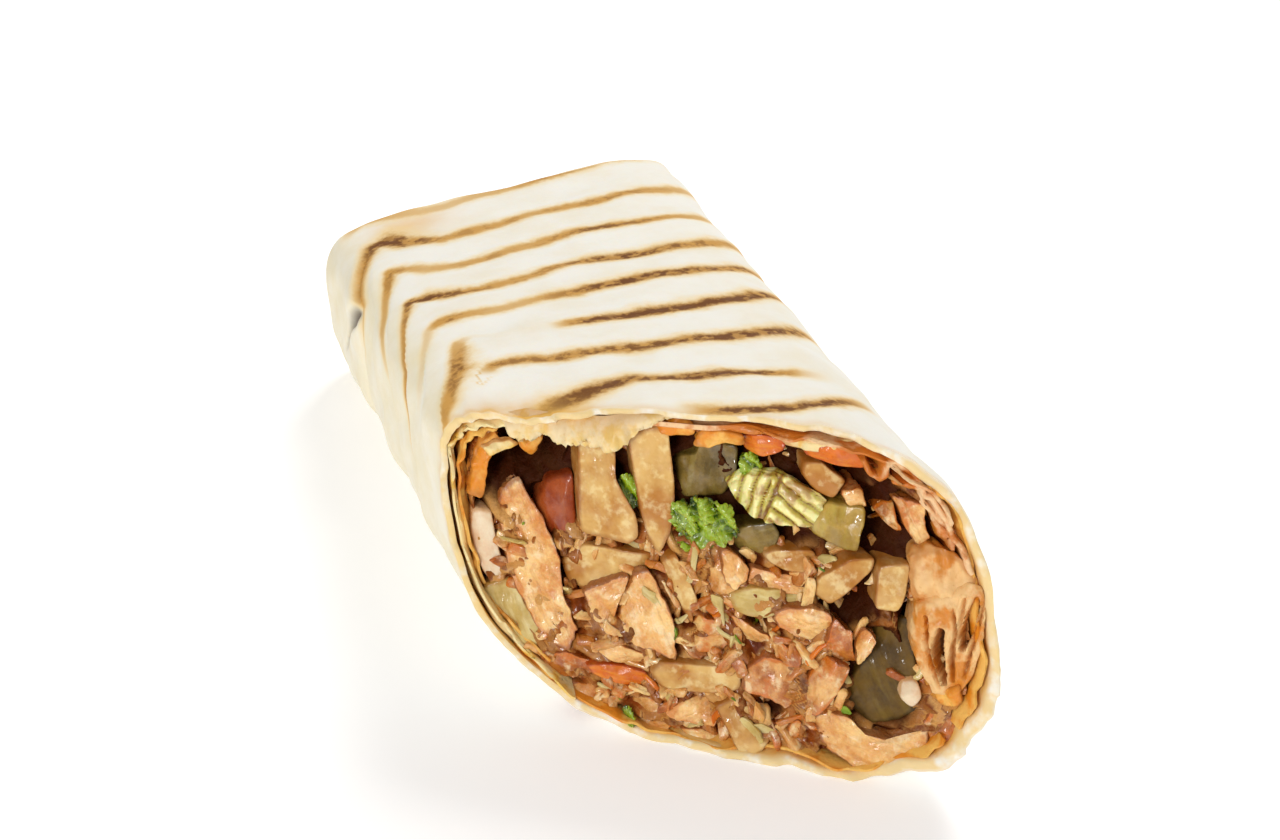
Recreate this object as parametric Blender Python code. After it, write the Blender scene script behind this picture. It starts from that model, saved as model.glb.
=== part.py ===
"""Half of a grilled shawarma wrap, cut on the slant and lying on its flat underside.

X runs across the wrap, Y along it from the cut (-Y) to the folded end (+Y), and Z is up.
The flatbread is one rolled sheet, closed at the folded end. It holds a heap of chicken, in which
fries, pickle, cabbage, carrot, onion, tomato and herbs lie in their own pockets.
All sizes are in metres.
"""

import math

import bmesh
import bpy
import numpy as np
from mathutils import Matrix, Vector

# Driving dimensions of the half wrap
CUT_Y = -0.066
END_Y = 0.069
CUT_HALF_WIDTH = 0.0368
CUT_TOP = 0.0288
CUT_BOTTOM = 0.0300
BASE_DEPTH = 0.0282
CUT_SIDE_SHIFT = -0.0005
CUT_TOP_SLOPE = 0.07
END_HALF_WIDTH = 0.0348
END_HALF_HEIGHT = 0.0162
END_BASE_DEPTH = 0.0154
END_SIDE_SHIFT = -0.0022
CUT_SLANT = math.radians(36.4)
CUT_LEAN = math.radians(16.3)

# How square each quarter of the section is: 2 is an ellipse, and more is squarer
CUT_SQUARENESS = {"right_top": 3.1, "left_top": 4.7, "left_base": 2.05, "right_base": 2.4}
END_SQUARENESS = {"right_top": 6.0, "left_top": 5.0, "left_base": 4.2, "right_base": 4.2}

# The flatbread sheet and how it is folded
SHEET = 0.0014
WALL = 0.0030
WALL_EXTRA_LEFT = 0.0012
BASE_WALL = 0.0022
END_WALL = 0.0040
END_ROUNDING = 0.0042
END_SKEW = math.radians(6.0)
END_SLIT_DEPTH = 0.0022
LIP_GROOVE_DEPTH = 0.0035
LIP_TEAR = 0.0012
FLAP_DROP = 0.0022
FLAP_TURN = math.radians(128)
FLAP_SPREAD = math.radians(30)
SEAM_STEP = 0.0013
SEAM_START = 0.90
CLEARANCE = 0.0003
HEAP_CLEARANCE = 0.0004
AROUND = 60

# The heap of filling behind the cut, hollowed out between the pieces near the top
FACE_RECESS = 0.0042
HOLLOW_RECESS = 0.0050
FACE_BUMP = 0.0010
HEAP_OVERHANG = 0.0080


def rounded_power(value, power):
    """A sine or cosine raised to a power, with its sign kept."""
    return np.sign(value) * np.abs(value) ** power


def outline(angles, half_width, top, bottom, squareness):
    """Section outline (x, z) about its own middle, each quarter a superellipse of its own."""
    c, s = np.cos(angles), np.sin(angles)
    power = np.where(
        s >= 0,
        np.where(c >= 0, squareness["right_top"], squareness["left_top"]),
        np.where(c >= 0, squareness["right_base"], squareness["left_base"]),
    )
    x = half_width * rounded_power(c, 2 / power)
    z = np.where(s >= 0, top, bottom) * rounded_power(s, 2 / power)
    return x, z


def end_section(angles):
    """Section at the folded end about its middle, flat below."""
    x, z = outline(angles, END_HALF_WIDTH, END_HALF_HEIGHT, END_HALF_HEIGHT, END_SQUARENESS)
    return x, np.maximum(z, -END_BASE_DEPTH)


def cut_section(angles):
    """Section at the cut about its middle, its top higher on the right and flat below."""
    x, z = outline(angles, CUT_HALF_WIDTH, CUT_TOP, CUT_BOTTOM, CUT_SQUARENESS)
    z = z + CUT_TOP_SLOPE * x * np.clip(z / CUT_TOP, 0, 1)
    return x, np.maximum(z, -BASE_DEPTH)


def between(end_value, cut_value, along):
    return end_value + (cut_value - end_value) * along


def cut_plane_y(x, z):
    """Where the knife's slanting plane is, at a place in the section."""
    return CUT_Y - x * math.tan(CUT_SLANT) + (z - BASE_DEPTH) * math.tan(CUT_LEAN)


def end_y(x):
    """Where the folded end is: a little further along on the right."""
    return END_Y + x * math.tan(END_SKEW)


def even_angles(count):
    """Angles that space points evenly round a section, from the seam on the lower right."""
    start = np.linspace(0, 2 * np.pi, 4001) - 2 * np.pi * (1 - SEAM_START)
    xe, ze = end_section(start)
    xc, zc = cut_section(start)
    x, z = (xe + xc) / 2, (ze + zc) / 2
    travel = np.concatenate([[0], np.cumsum(np.hypot(np.diff(x), np.diff(z)))])
    wanted = np.linspace(0, travel[-1], count, endpoint=False)
    return np.interp(wanted, travel, start)


ANGLES = even_angles(AROUND)
SEAM_RISE = SEAM_STEP * np.linspace(0, 1, AROUND) ** 3
INNER_ROWS = np.array([0.12, 0.32, 0.53, 0.74, 0.94])


def ring(along, inset, forward=0.0):
    """Points round the wrap: along is 0 at the folded end and 1 at the cut, and inset is inwards."""
    xe, ze = end_section(ANGLES)
    xc, zc = cut_section(ANGLES)
    shrink_x = 1 - inset / between(END_HALF_WIDTH, CUT_HALF_WIDTH, along)
    shrink_z = 1 - inset / between(END_BASE_DEPTH, BASE_DEPTH, along)
    x = between(xe, xc, along) * shrink_x + between(END_SIDE_SHIFT, CUT_SIDE_SHIFT, along)
    z = between(ze, zc, along) * shrink_z + between(END_BASE_DEPTH, BASE_DEPTH, along)
    y = between(end_y(x), cut_plane_y(x, z), along) - forward
    return np.stack([x, y, z], axis=1)


def end_ring(turn, inset, setback, rounding):
    """Points round the folded end, where the section rounds over from its side into its face."""
    points = ring(0.0, inset + rounding * (1 - math.cos(turn)))
    points[:, 1] -= setback + rounding * (1 - math.sin(turn))
    return points


def slit_ring(share_x, share_z, depth):
    """Points on the end's face, drawn in to the slit where its upper and lower flaps meet."""
    points = ring(0.0, END_ROUNDING)
    middle = points.mean(axis=0)
    points = middle + (points - middle) * np.array([share_x, 1.0, share_z])
    points[:, 1] = end_y(points[:, 0]) - depth
    return points


def flap_shape():
    """How much of the flap's drop each point round the lip has: all of it at the upper left."""
    return np.exp(-(((ANGLES - FLAP_TURN) / FLAP_SPREAD) ** 2))


def wall_thickness():
    """Rolled layers are thick on the left, and a single sheet lies below."""
    left = np.clip(-np.cos(ANGLES), 0, 1)
    below = np.clip(-np.sin(ANGLES), 0, 1) ** 2
    return WALL + WALL_EXTRA_LEFT * left + (BASE_WALL - WALL) * below


def torn_edge(seed, height):
    """How far a torn edge stands out round the rim, as a few waves with seeded phases."""
    rng = np.random.default_rng(seed)
    travel = np.linspace(0, 2 * np.pi, AROUND, endpoint=False)
    total = np.zeros(AROUND)
    for waves in (3, 5, 8, 13, 19):
        total += rng.uniform(0.5, 1.0) * np.sin(waves * travel + rng.uniform(0, 2 * np.pi)) / math.sqrt(waves)
    return height * total / 1.6


def closed_mesh(name, rings, start_pole, end_pole):
    """A closed skin over rings of equal count, with a pole point at each end."""
    count = len(rings[0])
    points = np.vstack([*rings, start_pole, end_pole])
    first_pole, last_pole = len(points) - 2, len(points) - 1
    faces = []
    for row in range(len(rings) - 1):
        for col in range(count):
            after = (col + 1) % count
            a, b = row * count + col, row * count + after
            c, d = a + count, b + count
            faces.append((a, b, d))
            faces.append((a, d, c))
    last = (len(rings) - 1) * count
    for col in range(count):
        after = (col + 1) % count
        faces.append((after, col, first_pole))
        faces.append((last + col, last + after, last_pole))
    mesh = bpy.data.meshes.new(name)
    mesh.from_pydata(points.tolist(), [], faces)
    face_outwards(mesh)
    return mesh


def face_outwards(mesh):
    """Turns a closed mesh's faces so that they enclose a positive volume."""
    work = bmesh.new()
    work.from_mesh(mesh)
    bmesh.ops.recalc_face_normals(work, faces=work.faces)
    if work.calc_volume(signed=True) < 0:
        bmesh.ops.reverse_faces(work, faces=work.faces)
    work.to_mesh(mesh)
    work.free()


def material(name, colour, roughness):
    made = bpy.data.materials.new(name)
    made.use_nodes = True
    shader = made.node_tree.nodes["Principled BSDF"]
    shader.inputs["Base Color"].default_value = (*colour, 1.0)
    shader.inputs["Roughness"].default_value = roughness
    shader.inputs["Metallic"].default_value = 0.0
    return made


def place(name, mesh, finish):
    obj = bpy.data.objects.new(name, mesh)
    bpy.context.scene.collection.objects.link(obj)
    mesh.materials.clear()
    mesh.materials.append(finish)
    return obj


def as_helper(obj):
    obj.hide_render = True
    obj.display_type = "WIRE"
    return obj


def combine(obj, others, operation, solver="EXACT"):
    """Joins, cuts or trims obj with the others in one Boolean, applies it and drops any loose scrap."""
    group = bpy.data.collections.new(obj.name + "_" + operation.lower())
    bpy.context.scene.collection.children.link(group)
    for other in others:
        group.objects.link(other)
    change = obj.modifiers.new(operation.lower(), "BOOLEAN")
    change.operation = operation
    change.solver = solver
    change.operand_type = "COLLECTION"
    change.collection = group
    graph = bpy.context.evaluated_depsgraph_get()
    result = bpy.data.meshes.new_from_object(obj.evaluated_get(graph))
    obj.modifiers.clear()
    old = obj.data
    obj.data = result
    bpy.data.meshes.remove(old)
    bpy.data.collections.remove(group)
    keep_largest(obj.data)


def keep_largest(mesh):
    """Leaves the largest connected body of a mesh."""
    work = bmesh.new()
    work.from_mesh(mesh)
    bmesh.ops.triangulate(work, faces=work.faces)
    unseen = set(work.verts)
    bodies = []
    while unseen:
        edge_of_search = [unseen.pop()]
        body = set(edge_of_search)
        while edge_of_search:
            vert = edge_of_search.pop()
            for edge in vert.link_edges:
                other = edge.other_vert(vert)
                if other in unseen:
                    unseen.discard(other)
                    body.add(other)
                    edge_of_search.append(other)
        bodies.append(body)
    largest = max(bodies, key=len)
    loose = [vert for body in bodies if body is not largest for vert in body]
    bmesh.ops.delete(work, geom=loose, context="VERTS")
    work.to_mesh(mesh)
    work.free()


def remove(objects):
    for obj in objects:
        bpy.data.objects.remove(obj)


# Flatbread: outer skin, torn double lip at the cut, inner skin and the rounded folded end
def flatbread_mesh():
    thickness = wall_thickness()
    outer_tear = torn_edge(7, LIP_TEAR)
    inner_tear = torn_edge(11, LIP_TEAR * 1.3)
    flap = FLAP_DROP * flap_shape()
    rings = [slit_ring(0.93, 0.03, END_SLIT_DEPTH), slit_ring(0.97, 0.38, 0.0003)]
    for turn in np.radians((90, 60, 30)):
        rings.append(end_ring(turn, 0.0, 0.0, END_ROUNDING))
    for along in np.linspace(0.08, 0.95, 7):
        rings.append(ring(along, -SEAM_RISE * min(1.0, along * 4)))
    rings.append(ring(1.0, -SEAM_RISE, outer_tear))
    rings.append(ring(1.0, thickness * 0.42, outer_tear))
    rings.append(ring(1.0, thickness * 0.46, -LIP_GROOVE_DEPTH))
    rings.append(ring(1.0, thickness * 0.58, -LIP_GROOVE_DEPTH))
    rings.append(ring(1.0, thickness * 0.62 + flap * 0.7, inner_tear + flap * 0.5))
    rings.append(ring(1.0, thickness + flap, inner_tear + flap * 0.5))
    for along in INNER_ROWS[::-1]:
        rings.append(ring(along, thickness))
    inner_rounding = END_ROUNDING - WALL
    for turn in np.radians((30, 90)):
        rings.append(end_ring(turn, thickness, END_WALL, inner_rounding))
    middle = rings[0].mean(axis=0)
    inside = rings[-1].mean(axis=0)
    for points in rings:
        points[:, 2] = np.maximum(points[:, 2], 0.0)
    return closed_mesh("flatbread", rings, middle, inside)


# Space inside the flatbread, which the filling keeps to
def hold_mesh(overhang):
    thickness = wall_thickness() + CLEARANCE
    inner_rounding = END_ROUNDING - WALL
    rings = [end_ring(turn, thickness, END_WALL + CLEARANCE, inner_rounding) for turn in np.radians((90, 30))]
    rings += [ring(along, thickness) for along in INNER_ROWS]
    lip = thickness + FLAP_DROP * flap_shape()
    rings.append(ring(1.0, lip))
    rings.append(ring(1.0, lip, overhang))
    return closed_mesh("hold", rings, rings[0].mean(axis=0), rings[-1].mean(axis=0))


# The cut face's own frame: u to the right along the cut, t up along it and n out of the food
FACE_RIGHT = Vector((math.cos(CUT_SLANT), -math.sin(CUT_SLANT), 0.0))
FACE_LEAN = Vector((0.0, math.sin(CUT_LEAN), math.cos(CUT_LEAN)))
FACE_OUT = FACE_RIGHT.cross(FACE_LEAN).normalized()
FACE_UP = FACE_OUT.cross(FACE_RIGHT)
FACE_MIDDLE = Vector((0.0, CUT_Y, BASE_DEPTH))

# A piece is set back from the cut along the wrap and downwards
SINK = Vector((0.176, 0.779, -0.601))
SINK = SINK / -SINK.dot(FACE_OUT)


def on_face(at, depth, turn, tip, recess):
    """Matrix of a piece: its front is at (u, t) and set back, and tip sinks its far end."""
    frame = Matrix((FACE_RIGHT, FACE_UP, FACE_OUT)).transposed().to_4x4()
    middle = FACE_MIDDLE + FACE_RIGHT * at[0] + FACE_UP * at[1] + SINK * recess - FACE_OUT * depth / 2
    return (
        Matrix.Translation(middle)
        @ frame
        @ Matrix.Rotation(math.radians(turn), 4, "Z")
        @ Matrix.Rotation(math.radians(tip), 4, "Y")
    )


def chamfered_square(chamfer):
    """The eight corners of a square that reaches 1 each way, with its corners cut off."""
    edge = 1 - chamfer
    corners = [(1, edge), (edge, 1), (-edge, 1), (-1, edge), (-1, -edge), (-edge, -1), (edge, -1), (1, -edge)]
    return np.array(corners)


def block_mesh(name, size, chamfer, rough, seed, grow=0.0):
    """A cut piece: a box of that length, width and depth with chamfered edges, made uneven."""
    rng = np.random.default_rng(seed)
    half = np.array(size) / 2
    edge = 1 - chamfer
    corners = chamfered_square(chamfer)
    taper = 1 + rough * rng.uniform(-1.5, 1.5, 2)
    bow = rough * rng.uniform(-0.6, 0.6, 2)
    jitter = 1 + rough * rng.uniform(-1, 1, (4, 8))
    rings = []
    for row, (reach, girth) in enumerate(((-1, edge), (-edge, 1), (edge, 1), (1, edge))):
        section = corners * girth * taper ** reach * jitter[row][:, None] + bow * reach**2
        rings.append(np.column_stack([np.full(8, reach), section]))
    shift = rng.uniform(-1, 1, 2) * rough * 0.5
    poles = [np.array([-1.02, *shift]), np.array([1.02, *shift])]
    scaled = [points * (half + grow) for points in rings]
    return closed_mesh(name, scaled, poles[0] * (half + grow), poles[1] * (half + grow))


def leaf_mesh(name, size, ruffles, ruffle_height, thickness, seed, grow=0.0, cells=7):
    """A leaf: a thin wavy solid, with both faces split alike."""
    rng = np.random.default_rng(seed)
    phase = rng.uniform(0, 2 * np.pi, 3)
    half_long, half_wide = size[0] / 2 + 1.8 * grow, size[1] / 2 + 1.8 * grow
    lift = thickness / 2 + 1.6 * grow
    s, t = np.meshgrid(np.linspace(-1, 1, cells), np.linspace(-1, 1, cells), indexing="ij")
    rounding = np.sqrt(1 - 0.45 * s**2 * t**2 - 0.2 * t**2)
    x, y = half_long * s * rounding, half_wide * t * rounding
    wave = np.sin(ruffles * s + phase[0]) * np.cos(ruffles * 0.8 * t + phase[1])
    wave = wave + 0.5 * np.sin(ruffles * 1.6 * (s + t) + phase[2])
    z = ruffle_height * wave * (0.4 + 0.6 * np.maximum(abs(s), abs(t)))
    top = np.stack([x, y, z + lift], axis=-1).reshape(-1, 3)
    bottom = np.stack([x, y, z - lift], axis=-1).reshape(-1, 3)
    faces = []
    count = cells * cells
    for i in range(cells - 1):
        for j in range(cells - 1):
            a, b = i * cells + j, (i + 1) * cells + j
            c, d = b + 1, a + 1
            faces += [(a, b, c), (a, c, d)]
            faces += [(count + a, count + c, count + b), (count + a, count + d, count + c)]
    edge = [(i, 0) for i in range(cells)]
    edge += [(cells - 1, j) for j in range(1, cells)]
    edge += [(i, cells - 1) for i in range(cells - 2, -1, -1)]
    edge += [(0, j) for j in range(cells - 2, 0, -1)]
    border = [i * cells + j for i, j in edge]
    for here, there in zip(border, border[1:] + border[:1]):
        faces += [(here, count + here, count + there), (here, count + there, there)]
    mesh = bpy.data.meshes.new(name)
    mesh.from_pydata(np.vstack([top, bottom]).tolist(), [], faces)
    face_outwards(mesh)
    return mesh


def ribbed_mesh(name, size, ribs, rib_height, seed, grow=0.0, cells_long=11, cells_wide=4):
    """A piece of ribbed cabbage stem: a bent slab with ribs across its length."""
    rng = np.random.default_rng(seed)
    length, width, depth = (side / 2 + grow for side in size)
    s, t = np.meshgrid(np.linspace(-1, 1, cells_long), np.linspace(-1, 1, cells_wide), indexing="ij")
    x = length * s + 0.0006 * np.sin(3 * t + rng.uniform(0, 6))
    y = width * t * (1 - 0.12 * s)
    crest = rib_height * np.abs(np.sin(ribs * math.pi * (s + 1) / 2))
    bow = -0.25 * depth * s**2
    top = np.stack([x, y, depth + crest - rib_height + bow], axis=-1).reshape(-1, 3)
    bottom = np.stack([x, y, -depth + bow], axis=-1).reshape(-1, 3)
    faces = []
    count = cells_long * cells_wide
    for i in range(cells_long - 1):
        for j in range(cells_wide - 1):
            a, b = i * cells_wide + j, (i + 1) * cells_wide + j
            c, d = b + 1, a + 1
            faces += [(a, b, c), (a, c, d)]
            faces += [(count + a, count + c, count + b), (count + a, count + d, count + c)]
    edge = [(i, 0) for i in range(cells_long)]
    edge += [(cells_long - 1, j) for j in range(1, cells_wide)]
    edge += [(i, cells_wide - 1) for i in range(cells_long - 2, -1, -1)]
    edge += [(0, j) for j in range(cells_wide - 2, 0, -1)]
    border = [i * cells_wide + j for i, j in edge]
    for here, there in zip(border, border[1:] + border[:1]):
        faces += [(here, count + here, count + there), (here, count + there, there)]
    mesh = bpy.data.meshes.new(name)
    mesh.from_pydata(np.vstack([top, bottom]).tolist(), [], faces)
    face_outwards(mesh)
    return mesh


# The sheet's inner end, crumpled into folds that run along inside the right-hand wall
FOLD_TOP, FOLD_FOOT = 0.0110, -0.0090
FOLD_RIGHT, FOLD_PITCH = 0.0344, 0.0027
FOLD_RUNS = 3
FOLD_END = 0.12
FOLD_ROOM = 0.0010


def fold_line(grow):
    """The folds' line in the section, about its middle: runs up and down, joined by round turns."""
    steps = np.linspace(0, 1, 6)
    line = []
    for run in range(FOLD_RUNS):
        x = FOLD_RIGHT - run * FOLD_PITCH + 0.0004 * np.sin(steps * 7 + run * 2.0)
        z = FOLD_TOP + (FOLD_FOOT - FOLD_TOP) * (steps if run % 2 == 0 else 1 - steps) - 0.0010 * run
        line += list(zip(x, z))
        if run < FOLD_RUNS - 1:
            away = -1 if run % 2 == 0 else 1
            line.append((x[-1] - FOLD_PITCH / 2, z[-1] + away * FOLD_PITCH / 2))
    line = np.array(line)
    tangent = np.gradient(line, axis=0)
    tangent /= np.linalg.norm(tangent, axis=1)[:, None]
    side = np.stack([-tangent[:, 1], tangent[:, 0]], axis=1) * (SHEET / 2 + grow)
    return np.vstack([line + side, (line - side)[::-1]])


def along_wrap(section, along, forward):
    """Points of an outline about the section's middle, at a place along the wrap."""
    wide = between(END_HALF_WIDTH / CUT_HALF_WIDTH, 1, along)
    high = between(END_HALF_HEIGHT / CUT_TOP, 1, along)
    x = section[:, 0] * wide + between(END_SIDE_SHIFT, CUT_SIDE_SHIFT, along)
    z = section[:, 1] * high + between(END_BASE_DEPTH, BASE_DEPTH, along)
    y = between(end_y(x), cut_plane_y(x, z), along) - forward
    return np.stack([x, y, z], axis=1)


def fold_mesh():
    loop = fold_line(0.0)
    ragged = 0.0008 * np.sin(np.arange(len(loop)) * 2.1)
    rings = [along_wrap(loop, 1.0, 0.0010 + ragged)]
    rings += [along_wrap(loop, along, 0.0) for along in (0.8, 0.5, FOLD_END)]
    count = len(loop)
    faces = []
    for row in range(len(rings) - 1):
        for i in range(count):
            j = (i + 1) % count
            faces.append((row * count + i, row * count + j, (row + 1) * count + j, (row + 1) * count + i))
    last = (len(rings) - 1) * count
    for i in range(count // 2 - 1):
        a, b = i, i + 1
        c, d = count - 2 - i, count - 1 - i
        faces.append((a, b, c, d))
        faces.append((last + d, last + c, last + b, last + a))
    mesh = bpy.data.meshes.new("fold")
    mesh.from_pydata(np.vstack(rings).tolist(), [], faces)
    face_outwards(mesh)
    return mesh


def fold_room_mesh():
    """The room that the folds take up in the filling."""
    half_wide = FOLD_PITCH * (FOLD_RUNS - 1) / 2 + SHEET / 2 + FOLD_ROOM
    half_high = (FOLD_TOP - FOLD_FOOT) / 2 + FOLD_PITCH / 2 + SHEET / 2 + FOLD_ROOM
    middle = np.array([FOLD_RIGHT - FOLD_PITCH * (FOLD_RUNS - 1) / 2, (FOLD_TOP + FOLD_FOOT) / 2 - 0.0010])
    section = middle + chamfered_square(0.12) * np.array([half_wide, half_high])
    rings = [along_wrap(section, 1.0, forward) for forward in (2 * HEAP_OVERHANG, 0.0)]
    rings += [along_wrap(section, along, 0.0) for along in (0.8, 0.5, FOLD_END - 0.01)]
    return closed_mesh("fold_room", rings, rings[0].mean(axis=0), rings[-1].mean(axis=0))


def heap_recess(x, z):
    """How far the heap lies behind the cut: more at the top, where the pieces stand free."""
    rise = np.clip((z - BASE_DEPTH - 0.004) / 0.012, 0, 1)
    bump = np.sin(x * 420) * np.cos(z * 380)
    return FACE_RECESS + HOLLOW_RECESS * rise * rise * (3 - 2 * rise) + FACE_BUMP * bump


# Filling core: a heap that fills the flatbread up to a bumpy face behind the cut
def core_mesh():
    thickness = wall_thickness() + HEAP_CLEARANCE
    inner_rounding = END_ROUNDING - WALL
    setback = END_WALL + HEAP_CLEARANCE
    rings = [end_ring(turn, thickness, setback, inner_rounding) for turn in np.radians((90, 30))]
    rings += [ring(along, thickness) for along in INNER_ROWS[:-1]]
    lip = ring(1.0, thickness)
    recess = heap_recess(lip[:, 0], lip[:, 2])
    rim = ring(1 - recess / (end_y(lip[:, 0]) - lip[:, 1]), thickness)
    rings.append(rim)
    middle = rim.mean(axis=0)
    for share in (0.82, 0.60, 0.38, 0.16, 0.0):
        points = middle + (rim - middle) * share
        points[:, 1] = cut_plane_y(points[:, 0], points[:, 2]) + heap_recess(points[:, 0], points[:, 2])
        rings.append(points)
    front_pole = rings.pop()[0]
    return closed_mesh("chicken_filling", rings, rings[0].mean(axis=0), front_pole)


# Chicken chunks fused to the heap, in millimetres and degrees:
# front's place (u, t), size (length, width, depth), turn in the face, tip and how far it is set back
CHICKEN = [
    ((-31.8, 1.8), (23.0, 7.4, 12.0), -65, 4, 1.2),
    ((-14.2, -8.0), (15.5, 13.5, 12.0), -33, 0, 0.6),
    ((30.0, 18.0), (9.5, 7.4, 9.0), -55, 0, 3.0),
    ((13.9, -4.0), (9.6, 7.6, 9.0), -8, 0, 0.8),
    ((20.2, -5.6), (7.2, 4.4, 9.0), -55, 0, 1.4),
    ((16.4, -14.6), (12.5, 5.6, 9.0), 62, 8, 0.8),
    ((8.2, -13.2), (9.4, 7.6, 9.0), -21, 0, 1.2),
    ((22.6, -22.0), (18.0, 6.6, 10.0), 6, 0, 1.0),
    ((-4.5, -21.8), (9.0, 6.0, 9.0), -9, 0, 1.2),
    ((-15.6, -22.4), (8.4, 4.6, 9.0), -14, 0, 1.6),
    ((-26.0, -13.0), (12.0, 5.4, 9.0), -40, 0, 1.4),
    ((-2.4, -7.4), (9.4, 5.0, 9.0), 40, 0, 1.6),
    ((5.0, -6.4), (6.0, 4.6, 9.0), -21, 0, 1.8),
    ((33.2, -13.4), (6.2, 4.0, 8.0), -70, 0, 2.0),
    ((13.6, -24.6), (6.4, 4.2, 9.0), 10, 0, 1.8),
    ((-1.0, 2.6), (7.0, 4.4, 9.0), -50, 0, 1.8),
    ((-27.0, 18.6), (8.0, 5.0, 8.0), 20, 0, 4.6),
    ((-19.5, -14.0), (7.6, 3.8, 8.0), -4, 0, 2.2),
    ((0.8, -1.8), (6.6, 3.4, 8.0), 18, 0, 2.0),
    ((28.6, -1.6), (6.4, 3.8, 8.0), 70, 0, 2.4),
]

# Pieces with a pocket of their own, in the same measures
FRIES = {
    "fry_tall": ((-19.3, 11.8), (17.2, 6.8, 7.0), -78, -8, 1.5),
    "fry_slanting": ((-11.6, 14.6), (18.0, 5.6, 6.6), -80, -7, 1.8),
    "fry_top_stub": ((17.4, 21.7), (6.6, 4.2, 7.0), -11, 0, 2.6),
    "fry_right_stub": ((26.2, 4.4), (8.0, 4.6, 5.0), -95, 0, 1.2),
    "fry_left_low": ((-23.4, -1.8), (10.0, 4.2, 6.0), 30, 6, 1.8),
    "fry_middle": ((-6.2, -1.2), (8.6, 4.4, 7.0), -58, 0, 1.0),
    "fry_rising": ((20.2, 4.8), (7.2, 3.4, 6.0), 42, 0, 2.0),
    "fry_cream": ((10.8, 6.4), (9.4, 3.2, 6.0), 6, 0, 1.4),
    "fry_low": ((-3.6, -15.4), (14.6, 5.4, 8.0), 5, 0, 1.0),
    "fry_foot": ((4.8, -22.8), (8.6, 5.8, 8.0), -58, 0, 1.2),
}
PICKLES = {
    "pickle_top": ((-3.0, 19.8), (8.6, 7.0, 9.0), 8, 0, 4.4),
    "pickle_cube": ((19.8, 12.8), (7.4, 6.6, 7.0), 2, 0, 1.0),
    "pickle_grey": ((6.0, 9.8), (5.4, 2.8, 6.0), 11, 0, 2.4),
    "pickle_slab": ((25.4, -9.8), (15.6, 7.4, 5.0), -93, 0, 1.2),
}
CARROTS = {
    "carrot_top_left": ((5.8, 24.0), (8.0, 2.2, 7.0), 6, 0, 1.4),
    "carrot_top_right": ((16.4, 25.2), (11.0, 2.2, 7.0), -3, 0, 1.2),
    "carrot_low": ((-16.8, -17.6), (9.6, 3.2, 8.0), -8, 0, 1.4),
}
ONIONS = {
    "onion_white": ((-38.6, 3.0), (9.6, 4.6, 8.0), -76, 0, 2.0),
    "onion_pink": ((32.4, -19.4), (4.0, 4.2, 6.0), -10, 0, 1.6),
}
TOMATO = {"tomato": ((-27.4, 9.6), (11.0, 6.2, 9.0), -76, 0, 3.6)}
CABBAGE_STEM = {"cabbage_stem": ((8.2, 15.8), (12.4, 7.0, 4.2), -5, 0, 0.8)}
CABBAGE_LEAVES = {
    "cabbage_left": ((-33.6, -7.6), (10.0, 4.4, 1.6), -60, 0, 2.0),
    "cabbage_right": ((9.2, 1.2), (12.0, 4.2, 1.6), 0, 0, 1.2),
}
HERBS = {"parsley": ((-2.7, 11.4), (8.8, 8.6, 1.4), 14, 0, 1.0)}


def millimetres(values):
    return tuple(value / 1000 for value in values)


def piece_maker(chamfer, rough):
    """Returns the function that makes a block of one kind, at its own size or grown."""

    def make(name, size, seed, grow):
        return block_mesh(name, size, chamfer, rough, seed, grow)

    return make


def herb_maker(name, size, seed, grow):
    return leaf_mesh(name, size, 3.4, 0.0010, size[2], seed, grow)


def leaf_maker(name, size, seed, grow):
    return leaf_mesh(name, size, 2.4, 0.0006, size[2], seed, grow)


def stem_maker(name, size, seed, grow):
    return ribbed_mesh(name, size, 4, 0.0009, seed, grow)


# Each kind of piece: its places, how it is made and its finish (colour and roughness)
KINDS = [
    (FRIES, piece_maker(0.16, 0.05), "fry", (0.80, 0.60, 0.33), 0.55),
    (PICKLES, piece_maker(0.26, 0.07), "pickle", (0.36, 0.37, 0.12), 0.25),
    (CARROTS, piece_maker(0.25, 0.08), "carrot", (0.83, 0.25, 0.04), 0.35),
    (ONIONS, piece_maker(0.40, 0.06), "onion", (0.86, 0.74, 0.66), 0.30),
    (TOMATO, piece_maker(0.45, 0.06), "tomato", (0.62, 0.11, 0.05), 0.25),
    (CABBAGE_STEM, stem_maker, "cabbage_stem", (0.76, 0.72, 0.33), 0.35),
    (CABBAGE_LEAVES, leaf_maker, "cabbage", (0.72, 0.66, 0.42), 0.40),
    (HERBS, herb_maker, "parsley", (0.16, 0.36, 0.03), 0.40),
]


def build_pieces(hold):
    """The pieces in their pockets, and the grown copies that cut those pockets."""
    pieces, cutters = [], []
    seed = 100
    for places, make, finish_name, colour, roughness in KINDS:
        finish = material(finish_name, colour, roughness)
        for name, (at, size, turn, tip, recess) in places.items():
            seed += 1
            where = on_face(millimetres(at), size[2] / 1000, turn, tip, recess / 1000)
            mesh = make(name, millimetres(size), seed, 0.0)
            mesh.transform(where)
            piece = place(name, mesh, finish)
            combine(piece, [hold], "INTERSECT", "MANIFOLD")
            pieces.append(piece)
            grown = make(name + "_pocket", millimetres(size), seed, CLEARANCE * 1.5)
            grown.transform(where)
            cutters.append(as_helper(place(name + "_pocket", grown, finish)))
    return pieces, cutters


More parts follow.
